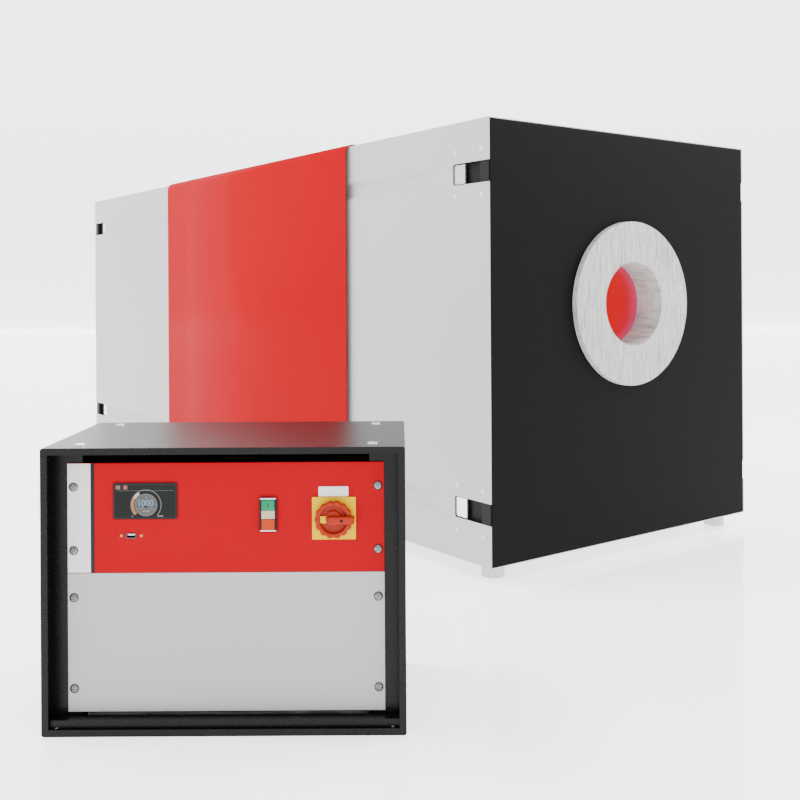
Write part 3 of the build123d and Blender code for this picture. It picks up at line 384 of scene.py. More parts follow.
def fibre_board(name, colour):
    """White fibre: grey flecks, upright trowel marks and a rough felted bump; the marks' tone follows their
    bump, painted shade in the grooves and painted highlight on the ridges.
    """
    material, tree, principled = shader(name, colour, roughness=0.92, specular=0.2)
    flecks = pattern(tree, scale=260.0, detail=5.0, roughness=0.7)
    marks = pattern(tree, scale=26.0, stretch=(1.0, 9.0, 0.9), detail=4.0, roughness=0.6)
    # Trowel-mark tone follows the marks' bump: painted shade in the grooves, painted highlight on the ridges
    relief_shade_and_highlight = ramp(tree, marks, ((0.34, shade(colour, 0.72)), (0.52, colour), (0.68, shade(colour, 1.22))))
    specks = two_tones(tree, flecks, grey(1.0), 0.7, 1.0, low=0.32, high=0.5)
    mixed = tree.nodes.new("ShaderNodeMix")
    mixed.data_type = "RGBA"
    mixed.blend_type = "MULTIPLY"
    mixed.inputs["Factor"].default_value = 1.0
    tree.links.new(relief_shade_and_highlight, mixed.inputs["A"])
    tree.links.new(specks, mixed.inputs["B"])
    tree.links.new(mixed.outputs["Result"], principled.inputs["Base Color"])
    bump(tree, principled, marks, strength=0.9, distance=0.004)
    bump(tree, principled, flecks, strength=0.4, distance=0.0004)
    return material


def glowing_tube(name, colour, mouth_depth, strength):
    """Ceramic that glows red further in, the hot tube's own light, and pink at its mouths by distance from
    the middle; the pink is painted light where room light falls into the mouths.
    """
    material, tree, principled = shader(name, colour, roughness=0.8, specular=0.2)
    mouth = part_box("heated_tube")[1][0]
    coordinates = tree.nodes.new("ShaderNodeTexCoord")
    split = tree.nodes.new("ShaderNodeSeparateXYZ")
    distance = tree.nodes.new("ShaderNodeMath")
    distance.operation = "ABSOLUTE"
    place = tree.nodes.new("ShaderNodeMapRange")
    place.inputs["From Min"].default_value = mouth - mouth_depth
    place.inputs["From Max"].default_value = mouth
    tree.links.new(coordinates.outputs["Object"], split.inputs["Vector"])
    tree.links.new(split.outputs["X"], distance.inputs[0])
    tree.links.new(distance.outputs["Value"], place.inputs["Value"])
    # The red glow is the hot tube's own; the pink towards the mouths is painted light
    red, rose, painted_mouth_light = (0.86, 0.004, 0.014), (0.78, 0.006, 0.035), (0.62, 0.07, 0.20)
    colours = ramp(tree, place.outputs["Result"], ((0.0, red), (0.5, rose), (1.0, painted_mouth_light)))
    tree.links.new(colours, principled.inputs["Emission Color"])
    principled.inputs["Emission Strength"].default_value = strength
    clouds = pattern(tree, scale=24.0, detail=3.0)
    tones = ramp(tree, clouds, ((0.3, (0.16, 0.006, 0.005)), (0.7, (0.22, 0.012, 0.010))))
    tree.links.new(tones, principled.inputs["Base Color"])
    bump(tree, principled, clouds, strength=0.2, distance=0.0008)
    return material


def lit(name, colour, strength, base=(0.02, 0.02, 0.02)):
    """Lit mark on the display: faint pixel grain over an even glow."""
    material, tree, principled = shader(name, base, roughness=0.4)
    grain = pattern(tree, scale=3000.0, detail=1.0)
    tree.links.new(two_tones(tree, grain, colour, 0.86, 1.0), principled.inputs["Emission Color"])
    principled.inputs["Emission Strength"].default_value = strength
    return material


WHITE_PAINT = coated("white_paint", (0.43, 0.43, 0.435), roughness=0.42, grain=700.0,
                     grain_depth=0.00006, drift=0.012)
GREY_PAINT = coated("grey_panel_paint", (0.36, 0.36, 0.365), roughness=0.45, grain=700.0,
                    grain_depth=0.00006, drift=0.015)
RED_PAINT = coated("red_cover_paint", (0.33, 0.0, 0.005), roughness=0.5, grain=700.0,
                   grain_depth=0.00005, drift=0.05, specular=0.0, coat=0.06)
PANEL_RED = coated("red_panel_paint", (0.33, 0.0, 0.006), roughness=0.5, grain=800.0,
                   grain_depth=0.00004, specular=0.0, coat=0.04)
# Black of the latch pockets, the cap mark and the knob's eye; also the painted shade of the rings round the
# panel screws
BLACK_PAINT_AND_SHADE = coated("black_paint_and_painted_shade", (0.010, 0.010, 0.0105), roughness=0.5, grain=900.0,
                      grain_depth=0.00004, specular=0.12)
# Rivet heads: a lighter grey than the skin paint, a painted highlight on the domes
RIVET_PAINTED_HIGHLIGHT = coated("rivet_painted_highlight", grey(0.66), roughness=0.28, grain=700.0, grain_depth=0.00003,
                     drift=0.01)
STRIP_WHITE = coated("strip_white", grey(0.62), roughness=0.35, grain=900.0, grain_depth=0.00002,
                     drift=0.01)
STRIP_BLACK = coated("strip_black", (0.004, 0.004, 0.006), roughness=0.35, grain=900.0,
                     grain_depth=0.00002, drift=0.05, specular=0.2)
# Both structure blacks carry painted highlight on the peaks of their grain and painted shade in its hollows
END_BLACK = textured_black("end_panel_paint", (0.0035, 0.0035, 0.0033), roughness=0.6,
                           peak_highlight=grey(0.008), specular=0.06)
CABINET_BLACK = textured_black("cabinet_paint", (0.0040, 0.0040, 0.0042), roughness=0.27,
                               peak_highlight=grey(0.014), specular=0.14)
FIBRE = fibre_board("fibre_board", (0.48, 0.48, 0.475))
GLOW = glowing_tube("glowing_ceramic", (0.55, 0.16, 0.12), mouth_depth=0.045, strength=0.8)
GALVANISED = bare_metal("galvanised_sheet", (0.60, 0.61, 0.62), roughness=0.38)
BRIGHT_STEEL = bare_metal("bright_steel", (0.86, 0.86, 0.87), roughness=0.24, brushed=(1.0, 1.0, 14.0))
SCREW_METAL = bare_metal("screw_nickel", (0.17, 0.17, 0.175), roughness=0.26, brushed=(1.0, 1.0, 4.0))
PORT_METAL = bare_metal("port_shell", (0.07, 0.07, 0.075), roughness=0.3)
BRASS = bare_metal("screw_brass", (0.34, 0.22, 0.08), roughness=0.28)
OXIDISED = bare_metal("oxidised_ribbon", (0.30, 0.20, 0.15), roughness=0.6)
ALUMINIUM = bare_metal("sink_aluminium", (0.72, 0.73, 0.74), roughness=0.34, brushed=(14.0, 1.0, 1.0))
PORCELAIN = moulded("terminal_porcelain", (0.80, 0.78, 0.72), roughness=0.2, grain=400.0, coat=0.4)
FOOT_WHITE = moulded("foot_plastic", (0.60, 0.60, 0.585), roughness=0.38)
BLACK_PLASTIC = moulded("black_plastic", (0.005, 0.005, 0.0055), roughness=0.42, specular=0.2)
HOUSING_GREY = moulded("housing_plastic", (0.13, 0.135, 0.14), roughness=0.5)
DISPLAY_DARK = moulded("display_window", (0.002, 0.003, 0.003), roughness=0.25, grain=200.0,
                       specular=0.15)
GREEN_CAP = moulded("green_cap", (0.004, 0.19, 0.085), roughness=0.38, specular=0.15)
ORANGE_CAP = moulded("orange_cap", (0.40, 0.032, 0.0), roughness=0.36, specular=0.15)
LENS = moulded("pale_lens", (0.42, 0.34, 0.22), roughness=0.3, grain=600.0, specular=0.4)
WHITE_TRIM_AND_HIGHLIGHT = moulded("white_trim_and_painted_highlight", (0.66, 0.66, 0.65), roughness=0.4)
PLATE_YELLOW = moulded("plate_yellow", (0.66, 0.40, 0.0), roughness=0.45, specular=0.0)
KNOB_ORANGE = moulded("knob_orange", (0.28, 0.012, 0.0), roughness=0.36, grain=500.0, specular=0.18)
VARNISH = moulded("coil_varnish", (0.25, 0.11, 0.03), roughness=0.3, grain=150.0, coat=0.4)

FINISHES = (
    (WHITE_PAINT, ("front_skin", "rear_skin", "top_skin")),
    (RED_PAINT, ("wrap_cover",)),
    (END_BLACK, ("right_end_panel", "left_end_panel")),
    (BLACK_PAINT_AND_SHADE, ("latch_pockets",)),
    (FIBRE, ("right_plug", "left_plug", "upper_insulation", "lower_insulation")),
    (GLOW, ("heated_tube",)),
    (OXIDISED, ("heating_elements", "element_leads")),
    (PORCELAIN, ("terminal_blocks",)),
    (FOOT_WHITE, ("feet",)),
    (BRIGHT_STEEL, ("latch_tongues", "thermocouples", "cabinet_studs")),
    (GALVANISED, ("base_sheet", "frame_rails", "frame_hoops", "cradles", "upper_can", "lower_can",
                  "terminal_brackets", "cover_spacers", "switch_shaft", "chassis_tray",
                  "transformer_core")),
    (CABINET_BLACK, ("entry_plate", "cabinet_shell", "cabinet_ledge", "rack_angles",
                     "cabinet_rear_panel")),
    (PANEL_RED, ("control_panel",)),
    (GREY_PAINT, ("lower_panel",)),
    (SCREW_METAL, ("panel_screws",)),
    (BLACK_PLASTIC, ("entry_glands", "display_bezel", "button_plate", "supply_sockets")),
    (DISPLAY_DARK, ("display_glass",)),
    (PORT_METAL, ("memory_port",)),
    (GREEN_CAP, ("green_button",)),
    (ORANGE_CAP, ("orange_button",)),
    (LENS, ("button_lens",)),
    (PLATE_YELLOW, ("switch_plate", "knob_insert")),
    (KNOB_ORANGE, ("switch_knob",)),
    (HOUSING_GREY, ("controller_body", "contact_block", "switch_body", "power_stack", "contactor")),
    (ALUMINIUM, ("heat_sink",)),
    (VARNISH, ("transformer_coil",)),
)
for finish, node_names in FINISHES:
    for node_name in node_names:
        for material_slot in nodes[node_name].material_slots:
            material_slot.material = finish


# Furnace pieces
RIVET_RADIUS = 5.0
RIVET_HEIGHT = 2.6
RIVET_SPREAD = 39.5
RIVET_FROM_END = (20.0, 91.0)


def rivets():
    """Domed rivet heads, four round each corner notch: profile radius R cos t, height H sin t. Their grey is
    lighter than the skin's, a painted highlight on the domes.
    """
    bend = np.linspace(0.0, QUARTER, 7)
    dome = zip(RIVET_RADIUS * np.cos(bend), RIVET_HEIGHT * np.sin(bend))
    profile = [(0.0, 0.0)] + list(dome)
    centres = [(end * (HALF_LENGTH - from_end), level + spread)
               for end in (-1, 1) for from_end in RIVET_FROM_END
               for level in CHANNEL_LEVELS for spread in (-RIVET_SPREAD, RIVET_SPREAD)]
    for side, word in ((-1, "front"), (1, "rear")):
        lathe_piece(f"{word}_rivets", profile, centres, case_side(side), RIVET_PAINTED_HIGHLIGHT, 20)


BORE_RADIUS = 80.0
PLUG_EDGE = 3.0
PLUG_SIDES = 420
FACE_RINGS = 70
FACE_DROP = 1.2
FACE_BLEND = 0.6
MARK_COUNT = 26
MARK_WAVES = (0.18, 1.1)
MARK_DRIFT = 0.03
MARK_DEPTH = 0.18
MARK_LIMIT = 6
PATCH_WAVES = (0.035, 0.022)
PATCH_PHASES = (0.8, 0.4)


def fibre_plug(name, end, seed):
    """Thick ring turned about the tube: rounded outer edges, its face lifted by upright marks.

    The marks are a sum of sines across the face whose phase drifts slowly with height, and they
    fade in patches, sine across times cosine up.
    """
    low, high = box_mm(name)
    outer_radius = high[2]
    depth = high[0] - low[0]
    bend = np.linspace(0.0, QUARTER, 7)
    edge_height = depth - PLUG_EDGE + PLUG_EDGE * np.sin(bend)
    outer = np.column_stack([outer_radius - PLUG_EDGE + PLUG_EDGE * np.cos(bend), edge_height])
    inner = np.column_stack([BORE_RADIUS + PLUG_EDGE - PLUG_EDGE * np.cos(bend), edge_height])
    face = np.linspace(outer_radius - PLUG_EDGE, BORE_RADIUS + PLUG_EDGE, FACE_RINGS)[1:-1]
    profile = np.vstack([[(outer_radius, 0.0)], outer, np.column_stack([face, np.full(len(face), depth)]),
                         inner[::-1], [(BORE_RADIUS, 0.0)]])
    grid = lathe(profile, (0.0, 0.0), PLUG_SIDES)
    across, up, out = grid[..., 0], grid[..., 1], grid[..., 2]
    draw = np.random.default_rng(seed)
    marks = np.zeros(across.shape)
    for wave in draw.uniform(*MARK_WAVES, MARK_COUNT):
        drift = draw.uniform(-MARK_DRIFT, MARK_DRIFT)
        phase = draw.uniform(0.0, FULL_TURN)
        marks += np.sin(across * wave + up * drift + phase)
    patch_across = np.sin(across * PATCH_WAVES[0] + PATCH_PHASES[0])
    patch_up = np.cos(up * PATCH_WAVES[1] + PATCH_PHASES[1])
    patch = smooth_step(0.5 + 0.5 * patch_across * patch_up)
    on_face = smooth_step((out - (depth - FACE_BLEND)) / FACE_BLEND)
    relief = MARK_DEPTH * np.clip(marks, -MARK_LIMIT, MARK_LIMIT) * patch
    grid[..., 2] -= on_face * (FACE_DROP + relief)
    plane = case_end(low[0] if end > 0 else high[0], end)
    piece = grid_piece(f"{name}_ring", grid, plane, FIBRE, True, name)
    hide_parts(name)


COVER_SHEET = 1.5
COVER_BEND = 20.0
COVER_CUT = 0.5
COVER_SOFT = 0.3


def wrap_cover():
    """Bent sheet: its outline over front, top and rear carried along the tube, cut edges rounded."""
    low, high = box_mm("wrap_cover")
    bend = np.linspace(0.0, QUARTER, 17)
    front_y, rear_y = low[1] + COVER_BEND, high[1] - COVER_BEND
    bend_z = high[2] - COVER_BEND

    def outline(inset):
        """Legs and top joined by two quarter circles, moved inwards by the inset."""
        radius = COVER_BEND - inset
        front = np.column_stack([front_y - radius * np.cos(bend), bend_z + radius * np.sin(bend)])
        rear = np.column_stack([rear_y + radius * np.sin(bend), bend_z + radius * np.cos(bend)])
        return np.vstack([[(low[1] + inset, low[2])], front, rear, [(high[1] - inset, low[2])]])

    outer, inner = outline(0.0), outline(COVER_SHEET)
    soft_outer, soft_inner = outline(COVER_SOFT), outline(COVER_SHEET - COVER_SOFT)
    start, stop = low[0], high[0]
    rows = ((outer, start + COVER_CUT), (outer, stop - COVER_CUT), (soft_outer, stop),
            (soft_inner, stop), (inner, stop - COVER_CUT), (inner, start + COVER_CUT),
            (soft_inner, start), (soft_outer, start))
    grid = np.stack([np.column_stack([np.full(len(line), x), line]) for line, x in rows])
    columns = grid.shape[1]
    faces = grid_faces(len(rows), columns, True, False).tolist()
    faces.append([row * columns for row in range(len(rows))])
    faces.append([row * columns + columns - 1 for row in reversed(range(len(rows)))])
    piece = closed_mesh("red_wrap_sheet", grid.reshape(-1, 3) * MM, faces, RED_PAINT, ROOT)
    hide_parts("wrap_cover")


# Cabinet pieces: the screws are placed from the edges of the two panels
SCREW_INSET = 7.2
SCREW_X = PANEL_HIGH[0] - SCREW_INSET
SCREW_HEIGHTS = (LOWER_LOW[1] + 27.1, LOWER_HIGH[1] - 28.3, PANEL_LOW[1] + 26.2, PANEL_HIGH[1] - 27.4)
SCREW_PLACES = [(side * SCREW_X, height) for side in (-1, 1) for height in SCREW_HEIGHTS]
SCREW_RADIUS = 4.6
HEAD_EDGE = 0.7
HEAD_RISE = 1.7
HEAD_FALL = 0.93
SLOT_HALF_WIDTH = 0.75
CROSS_HALF_WIDTH = 0.6
CROSS_HALF_LENGTH = 2.6
SLOT_BLEND = 0.25
CROSS_BLEND = 0.3
SLOT_DEPTH = 0.9
SHADE_RING_LEVELS = (0.26, 0.5)
SHADE_RING_INSIDE = SCREW_RADIUS - 0.3
SHADE_RING_OUTSIDE = SCREW_RADIUS + 0.7


def panel_screws():
    """Domed heads with a cross slot, each in a dark ring of painted shade: a polar grid for each head.

    Its height is a root of 1 less radius squared, lowered where the point lies inside two bands.
    """
    radius = (np.linspace(0.0, 1.0, 15) ** 0.8)[:, None]
    angle = np.linspace(0.0, FULL_TURN, 72, endpoint=False)
    x = SCREW_RADIUS * radius * np.cos(angle)
    y = SCREW_RADIUS * radius * np.sin(angle)
    dome = HEAD_EDGE + HEAD_RISE * np.sqrt(np.clip(1 - radius ** 2 * HEAD_FALL, 0, 1))
    draw = np.random.default_rng(3)
    heads = []
    for place in SCREW_PLACES:
        turn = draw.uniform(0.0, QUARTER)
        across = np.abs(x * np.sin(turn) - y * np.cos(turn))
        along = np.abs(x * np.cos(turn) + y * np.sin(turn))
        long_slot = smooth_step((SLOT_HALF_WIDTH - across) / SLOT_BLEND)
        in_cross = smooth_step((CROSS_HALF_LENGTH - across) / CROSS_BLEND)
        short_slot = smooth_step((CROSS_HALF_WIDTH - along) / SLOT_BLEND) * in_cross
        height = dome - SLOT_DEPTH * np.maximum(long_slot, short_slot)
        top = np.stack([x + place[0], y + place[1], height], -1)
        foot = top[-1:].copy()
        foot[..., 2] = 0.0
        pole = np.tile([*place, 0.0], (1, len(angle), 1))
        heads.append(np.concatenate([top, foot, pole]))
    # Dark ring lying on the panel round each head: painted shade
    rim = [(SHADE_RING_INSIDE, SHADE_RING_LEVELS[0]), (SHADE_RING_OUTSIDE, SHADE_RING_LEVELS[0]), (SHADE_RING_OUTSIDE, SHADE_RING_LEVELS[1]),
           (SHADE_RING_INSIDE, SHADE_RING_LEVELS[1])]
    lathe_piece("screw_painted_shade_rings", rim, SCREW_PLACES, PANEL, BLACK_PAINT_AND_SHADE, 40, True)
    piece = repeated_piece("cross_slot_screws", heads, PANEL, SCREW_METAL)
    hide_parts("panel_screws")


GLASS = cabinet_centre("display_glass")
DIAL = (GLASS[0] + 1.0, GLASS[1] - 4.6)
GLASS_FACE = rise("display_glass")
MARK_TOP = GLASS_FACE + 0.08
ON_GLASS = (GLASS_FACE, MARK_TOP)
UNDER_MARKS = (GLASS_FACE, MARK_TOP - 0.02)
ON_MARKS = (MARK_TOP, MARK_TOP + 0.05)
ICON_LEFT, ICON_RIGHT, ICON_UP = -32.6, -24.0, 20.8
BULB_RADIUS = 1.1
DIGIT_HEIGHT = 8.6
DIGIT_CORNER = (DIAL[0] - 10.2, DIAL[1] - 1.6)


def display_marks():
    """Lit marks standing just over the glass: header line, icons, dial rings and digits."""
    pale = lit("dial_pale", (0.44, 0.48, 0.50), 0.6)
    line = lit("header_line", (0.14, 0.18, 0.17), 0.5)
    amber = lit("dial_amber", (0.90, 0.26, 0.02), 0.75, (0.01, 0.005, 0.001))
    amber_pale = lit("dial_amber_pale", (1.0, 0.86, 0.55), 0.95)
    disc = lit("dial_disc", (0.09, 0.105, 0.115), 0.5)
    disc_low = lit("dial_disc_low", (0.14, 0.115, 0.085), 0.5)
    digit = lit("digit_blue", (0.30, 0.62, 0.95), 0.8)
    icon = lit("icon_red", (0.60, 0.0, 0.004), 0.5, (0.004, 0.0, 0.0))
    icon_mark = lit("icon_mark", (0.95, 0.75, 0.75), 0.5)

    # Flat marks: place from the dial's centre, size, levels, material, corner, edge
    for name, across, up, size, levels, material, corner, edge in (
            ("header_rule", -1.0, 16.7, (67.0, 0.45), ON_GLASS, line, 0.2, 0.03),
            ("status_icon_0", ICON_LEFT, ICON_UP, (6.0, 5.4), ON_GLASS, icon, 0.6, 0.03),
            ("status_icon_1", ICON_RIGHT, ICON_UP, (6.0, 5.4), ON_GLASS, icon, 0.6, 0.03),
            ("icon_stem", ICON_RIGHT, ICON_UP + 0.5, (1.0, 3.4), ON_MARKS, icon_mark, 0.4, 0.02),
            ("icon_bar_0", ICON_LEFT - 1.6, ICON_UP, (0.7, 3.2), ON_MARKS, icon_mark, 0.2, 0.02),
            ("icon_bar_1", ICON_LEFT, ICON_UP, (0.7, 3.2), ON_MARKS, icon_mark, 0.2, 0.02),
            ("icon_bar_2", ICON_LEFT + 1.6, ICON_UP, (0.7, 3.2), ON_MARKS, icon_mark, 0.2, 0.02),
            ("dial_rule", 0.0, -3.5, (24.0, 0.6), ON_MARKS, pale, 0.2, 0.02),
            ("dial_set_line", 0.3, -7.2, (8.6, 1.6), ON_MARKS, pale, 0.5, 0.02),
            ("dial_unit", 0.0, 9.0, (1.8, 1.0), ON_MARKS, pale, 0.4, 0.02),
            ("dial_low_end", -16.2, -13.0, (1.0, 1.4), ON_GLASS, pale, 0.3, 0.02),
            ("dial_high_end", 16.6, -12.9, (6.8, 1.4), ON_GLASS, pale, 0.5, 0.02)):
        slab_piece(name, (DIAL[0] + across, DIAL[1] + up), size, levels, material, corner, edge)
    low, high = ON_MARKS
    lathe_piece("icon_bulb", [(0, low), (BULB_RADIUS, low), (BULB_RADIUS, high), (0, high)],
                [(DIAL[0] + ICON_RIGHT, DIAL[1] + ICON_UP - 1.1)], PANEL, icon_mark, 16)

    # Rings and discs of the dial: radii, angles in degrees, levels, material, steps
    for name, radii, angles, levels, material, steps in (
            ("dial_outer", (17.2, 17.9), (-42.0, 222.0), ON_GLASS, pale, 64),
            ("dial_warm", (14.0, 17.2), (150.0, 222.0), ON_GLASS, amber, 64),
            ("dial_warm_tip", (14.0, 17.2), (120.0, 150.0), ON_GLASS, amber_pale, 64),
            ("dial_inner", (12.4, 13.0), (0.0, 359.9), ON_GLASS, pale, 96),
            ("dial_upper_disc", (0.4, 12.4), (-14.0, 194.0), UNDER_MARKS, disc, 64),
            ("dial_lower_disc", (3.6, 12.4), (199.0, 341.0), UNDER_MARKS, disc_low, 64)):
        arc_piece(name, DIAL, radii, angles, levels, material, steps=steps)
    digits("dial_number", "1000", DIGIT_CORNER, DIGIT_HEIGHT, MARK_TOP, digit)


LINE_PER_DIGIT = 1.28
DIGIT_NARROWING = 0.86
DIGIT_HALF_THICKNESS = 0.03
DIGIT_LIFT = 0.04


def digits(name, text, corner, height, level, material):
    """Plain number as a thin closed mesh, its lower left corner on the panels' plane."""
    curve = bpy.data.curves.new(name + "_line", "FONT")
    curve.body = text
    curve.size = height * LINE_PER_DIGIT
    curve.extrude = DIGIT_HALF_THICKNESS
    curve.resolution_u = 6
    helper = bpy.data.objects.new(name + "_line", curve)
    bpy.context.scene.collection.objects.link(helper)
    bpy.context.view_layer.update()
    mesh = bpy.data.meshes.new_from_object(helper)
    bpy.data.objects.remove(helper)
    points = np.empty(len(mesh.vertices) * 3)
    mesh.vertices.foreach_get("co", points)
    points = points.reshape(-1, 3)
    points[:, 0] *= DIGIT_NARROWING
    points += (corner[0], corner[1], level + DIGIT_LIFT)
    faces = [list(polygon.vertices) for polygon in mesh.polygons]
    bpy.data.meshes.remove(mesh)
    closed_mesh(name, placed(points, PANEL), faces, material, smooth=False)


BUTTON = cabinet_centre("button_plate")
SWITCH = cabinet_centre("switch_plate")
PORT = cabinet_centre("memory_port")
PORT_SCREW_SHIFTS = (-11.6, 11.7)
STRIP_LEVELS = (0.0, 0.25)
STRIP_GAP = 0.6


def panel_trim():
    """White and black strip, small white plate, port screws: thin pieces lying on the panel."""
    middle = (PANEL_HIGH[1] + PANEL_LOW[1]) / 2
    strip_height = PANEL_HIGH[1] - PANEL_LOW[1] - STRIP_GAP
    for name, from_left, width, corner, material, slot in (
            ("white_strip", 13.6, 26.8, 0.3, STRIP_WHITE, "white_paint"),
            ("black_strip", 29.3, 4.3, 0.2, STRIP_BLACK, "black_paint")):
        slab_piece(name, (PANEL_LOW[0] + from_left, middle), (width, strip_height), STRIP_LEVELS,
                   material, corner, edge=0.08)
    plate_top = cabinet_box("switch_plate")[1][1]
    slab_piece("small_white_plate", (SWITCH[0] - 0.5, plate_top + 6.5), (35.0, 11.7), (0.0, 1.4),
               WHITE_TRIM_AND_HIGHLIGHT, corner=1.4, edge=0.4)
    slotted = [(0.0, 0.0), (1.9, 0.0), (1.9, 0.5), (1.6, 0.8), (0.9, 0.9), (0.7, 0.4), (0.0, 0.3)]
    screws = [(PORT[0] + shift, PORT[1]) for shift in PORT_SCREW_SHIFTS]
    lathe_piece("port_screws", slotted, screws, PANEL, BRASS, 24)
    slab_piece("port_tongue", (PORT[0], PORT[1] + 1.2), (8.2, 1.6), (-2.0, 0.3), WHITE_TRIM_AND_HIGHLIGHT,
               corner=0.2, edge=0.1)


def button_trim():
    """White edges above and below the caps, the upper one a painted highlight along the bezel's top edge,
    and the raised mark on the upper cap.
    """
    plate_face = rise("button_plate")
    # The upper white edge is a painted highlight on the bezel's top edge
    for word, shift, height in (("upper", 18.6, 1.7), ("lower", -18.6, 1.5)):
        slab_piece(f"button_{word}_edge", (BUTTON[0], BUTTON[1] + shift), (18.4, height),
                   (plate_face - 0.1, plate_face + 0.5), WHITE_TRIM_AND_HIGHLIGHT, corner=0.4, edge=0.2)
    cap_face = rise("green_button")
    slab_piece("green_cap_mark", cabinet_centre("green_button"), (1.0, 4.6),
               (cap_face - 0.1, cap_face + 0.06), BLACK_PAINT_AND_SHADE, corner=0.3, edge=0.05,
               body="green_button")


KNOB_RADIUS = 22.2
KNOB_RECESS = 15.9
KNOB_BASE = cabinet_box("switch_knob")[0][2] + PANEL_DEPTH
KNOB_RIM = 9.0
KNOB_FLOOR = KNOB_RIM - 4.8
KNOB_EDGE = 2.4
RECESS_EDGE = 1.6
SCALLOPS = 14
SCALLOP_SHARE = 0.085
HANDLE_TOP = KNOB_BASE + 13.6


def switch_knob():
    """Scalloped ring with a sunk centre, a handle bar and a hub in it.

    The radius falls in each scallop with a power of 0.5 + 0.5 cos (14 t), less and less towards the
    recess, and the height follows two quarter circles, one over the rim and one into the recess.
    """
    angle = np.linspace(0.0, FULL_TURN, 288, endpoint=False)
    scallop = 0.5 + 0.5 * np.cos(SCALLOPS * angle)
    lobe = 1.0 - SCALLOP_SHARE * (1 - scallop ** 0.6)
    bend = np.linspace(0.0, QUARTER, 8)
    radius = np.concatenate([[0.0, KNOB_RADIUS - 1.0], KNOB_RADIUS - KNOB_EDGE + KNOB_EDGE * np.cos(bend),
                             KNOB_RECESS + RECESS_EDGE - RECESS_EDGE * np.sin(bend),
                             [KNOB_RECESS - 0.7, 9.0, 4.0, 0.0]])
    height = np.concatenate([[0.0, 0.0], KNOB_RIM - KNOB_EDGE + KNOB_EDGE * np.sin(bend),
                             KNOB_RIM - RECESS_EDGE + RECESS_EDGE * np.cos(bend),
                             [KNOB_FLOOR - 0.2, KNOB_FLOOR - 0.1, KNOB_FLOOR, KNOB_FLOOR]])
    blend = smooth_step((radius - KNOB_RECESS - 0.5) / (KNOB_RADIUS - KNOB_RECESS - 3.0))
    spread = radius[:, None] * (1 + blend[:, None] * (lobe - 1))
    grid = np.stack([SWITCH[0] + spread * np.cos(angle), SWITCH[1] + spread * np.sin(angle),
                     KNOB_BASE + np.broadcast_to(height[:, None], spread.shape)], -1)
    knob = grid_piece("scalloped_knob", grid, PANEL, KNOB_ORANGE, False, "main_switch")
    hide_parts("switch_knob")
    bottom = KNOB_BASE + KNOB_FLOOR - 0.1
    slab_piece("knob_handle", (SWITCH[0] + 8.5, SWITCH[1]), (31.0, 8.7), (bottom, HANDLE_TOP),
               KNOB_ORANGE, 1.6, 1.2, body="main_switch", steps=8)
    slab_piece("knob_hub", (SWITCH[0] - 0.5, SWITCH[1] + 1.0), (19.0, 19.0),
               (bottom, KNOB_BASE + KNOB_RIM - 1.6), KNOB_ORANGE, 9.4, 1.8, body="main_switch",
               steps=12)
    lathe_piece("handle_eye", [(0, 0), (1.7, 0), (1.7, 0.25), (1.2, 0.45), (1.0, 0.1), (0, 0.1)],
                [(SWITCH[0] + 9.5, SWITCH[1])], cabinet_front(PANEL_DEPTH - HANDLE_TOP), BLACK_PAINT_AND_SHADE, 24,
                body="main_switch")


LEDGE_HEIGHT = 8.0
LEDGE_SCREW_X = 194.0
LEDGE_SCREW_BACK = 6.0


def ledge_screws():
    """Two turned heads with a sunk centre on the ledge under the panels."""
    head = [(0.0, 0.0), (3.0, 0.0), (3.0, 0.5), (2.4, 1.2), (1.3, 1.5), (1.1, 0.9), (0.0, 0.9)]
    places = [(side * LEDGE_SCREW_X, LEDGE_SCREW_BACK) for side in (-1, 1)]
    lathe_piece("ledge_screws", head, places, cabinet_shelf(LEDGE_HEIGHT), SCREW_METAL, 24)


rivets()
fibre_plug("right_plug", 1, seed=7)
fibre_plug("left_plug", -1, seed=11)
wrap_cover()
panel_screws()
display_marks()
panel_trim()
button_trim()
switch_knob()
ledge_screws()

# Floor, light and camera
SKY_STRENGTH = 2.1
FLOOR_GLOW = 1.5
SWEEP_RADIUS = 4.0
FLOOR_REACH = 14.0
FLOOR_CENTRE = np.array([0.3, -0.3])


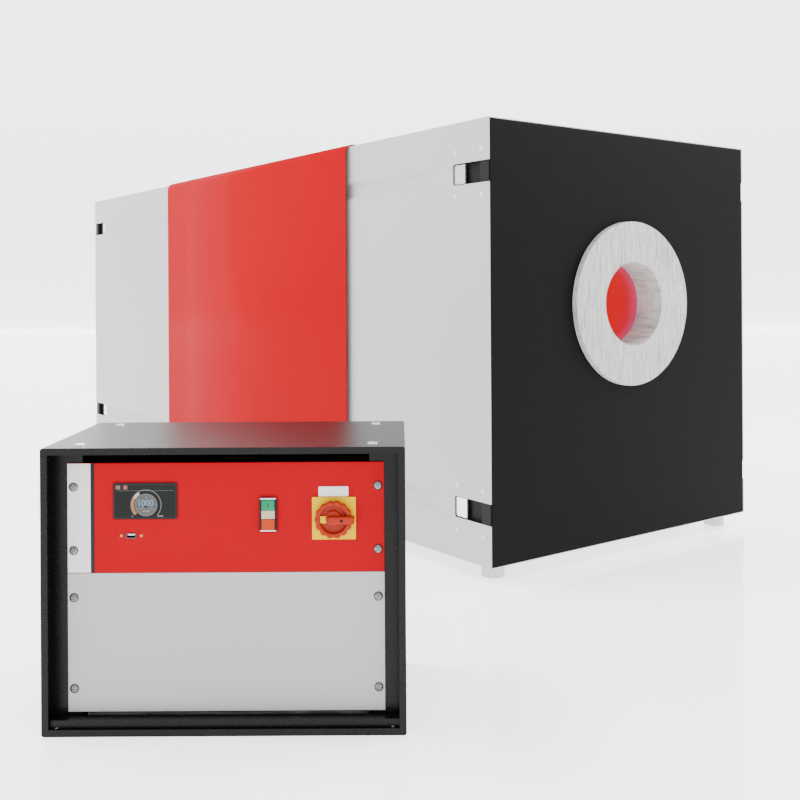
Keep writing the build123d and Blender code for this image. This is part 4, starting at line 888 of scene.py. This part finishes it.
def studio_floor():
    """Pale sheet under the object that curves up far behind: level, quarter circle, upright."""
    paint = coated("studio_floor", grey(0.97), roughness=0.10, grain=60.0, grain_depth=0.00001, drift=0.004)
    principled = paint.node_tree.nodes["Principled BSDF"]
    principled.inputs["Emission Color"].default_value = (1.0, 1.0, 1.0, 1.0)
    principled.inputs["Emission Strength"].default_value = FLOOR_GLOW
    sweep = np.linspace(0.0, QUARTER, 24)
    along = np.concatenate([[-FLOOR_REACH], FLOOR_REACH - SWEEP_RADIUS + SWEEP_RADIUS * np.sin(sweep),
                            [FLOOR_REACH]])
    height = np.concatenate([[0.0], SWEEP_RADIUS - SWEEP_RADIUS * np.cos(sweep), [FLOOR_REACH]])
    across = np.array([-FLOOR_REACH, FLOOR_REACH]) * 1.5
    spots = FLOOR_CENTRE - along[:, None, None] * OUT[:2] + across[None, :, None] * RIGHT[:2]
    levels = np.broadcast_to((FLOOR_Z + height)[:, None, None], (len(along), 2, 1))
    points = np.concatenate([spots, levels], -1).reshape(-1, 3)
    mesh = bpy.data.meshes.new("studio_floor")
    mesh.from_pydata(points.tolist(), [], grid_faces(len(along), 2, False, False).tolist())
    mesh.polygons.foreach_set("use_smooth", np.full(len(mesh.polygons), True))
    floor = bpy.data.objects.new("studio_floor", mesh)
    floor.data.materials.append(paint)
    bpy.context.scene.collection.objects.link(floor)


def sky():
    """Even white light from all round."""
    world = bpy.data.worlds.new("studio_sky")
    world.use_nodes = True
    background = world.node_tree.nodes["Background"]
    background.inputs["Color"].default_value = (1.0, 1.0, 1.0, 1.0)
    background.inputs["Strength"].default_value = SKY_STRENGTH
    bpy.context.scene.world = world


def soft_lamp(name, place, target, size, power):
    """Square area lamp that looks at a point."""
    lamp = bpy.data.lights.new(name, "AREA")
    lamp.shape = "SQUARE"
    lamp.size = size
    lamp.energy = power
    holder = bpy.data.objects.new(name, lamp)
    holder.location = place
    holder.rotation_euler = (Vector(target) - Vector(place)).to_track_quat("-Z", "Y").to_euler()
    bpy.context.scene.collection.objects.link(holder)


FOCAL_PIXELS = 988.82
HORIZON_ROW = 288.905
IMAGE_SIZE = 800
SENSOR = 36.0
CAMERA_PLACE = (2.27763, -1.48697, 0.03071)
CAMERA_ROLL = -0.0057


def camera():
    """Level camera of the photograph: its turn, its small roll, and a shift for the high horizon."""
    data = bpy.data.cameras.new("photo_camera")
    data.sensor_width = SENSOR
    data.lens = FOCAL_PIXELS * SENSOR / IMAGE_SIZE
    data.shift_y = -(IMAGE_SIZE / 2 - HORIZON_ROW) / IMAGE_SIZE
    right = RIGHT * np.cos(CAMERA_ROLL) + UP * np.sin(CAMERA_ROLL)
    up = UP * np.cos(CAMERA_ROLL) - RIGHT * np.sin(CAMERA_ROLL)
    holder = bpy.data.objects.new("photo_camera", data)
    rows = np.column_stack([right, up, OUT, CAMERA_PLACE]).tolist()
    holder.matrix_world = Matrix(rows + [[0.0, 0.0, 0.0, 1.0]])
    bpy.context.scene.collection.objects.link(holder)
    bpy.context.scene.camera = holder


studio_floor()
sky()
soft_lamp("key_lamp", (-0.6, -2.4, 4.0), (0.2, -0.3, -0.1), size=1.6, power=230.0)
soft_lamp("end_lamp", (1.75, 1.7, 1.6), (1.0, 0.0, 0.0), size=0.8, power=55.0)
camera()
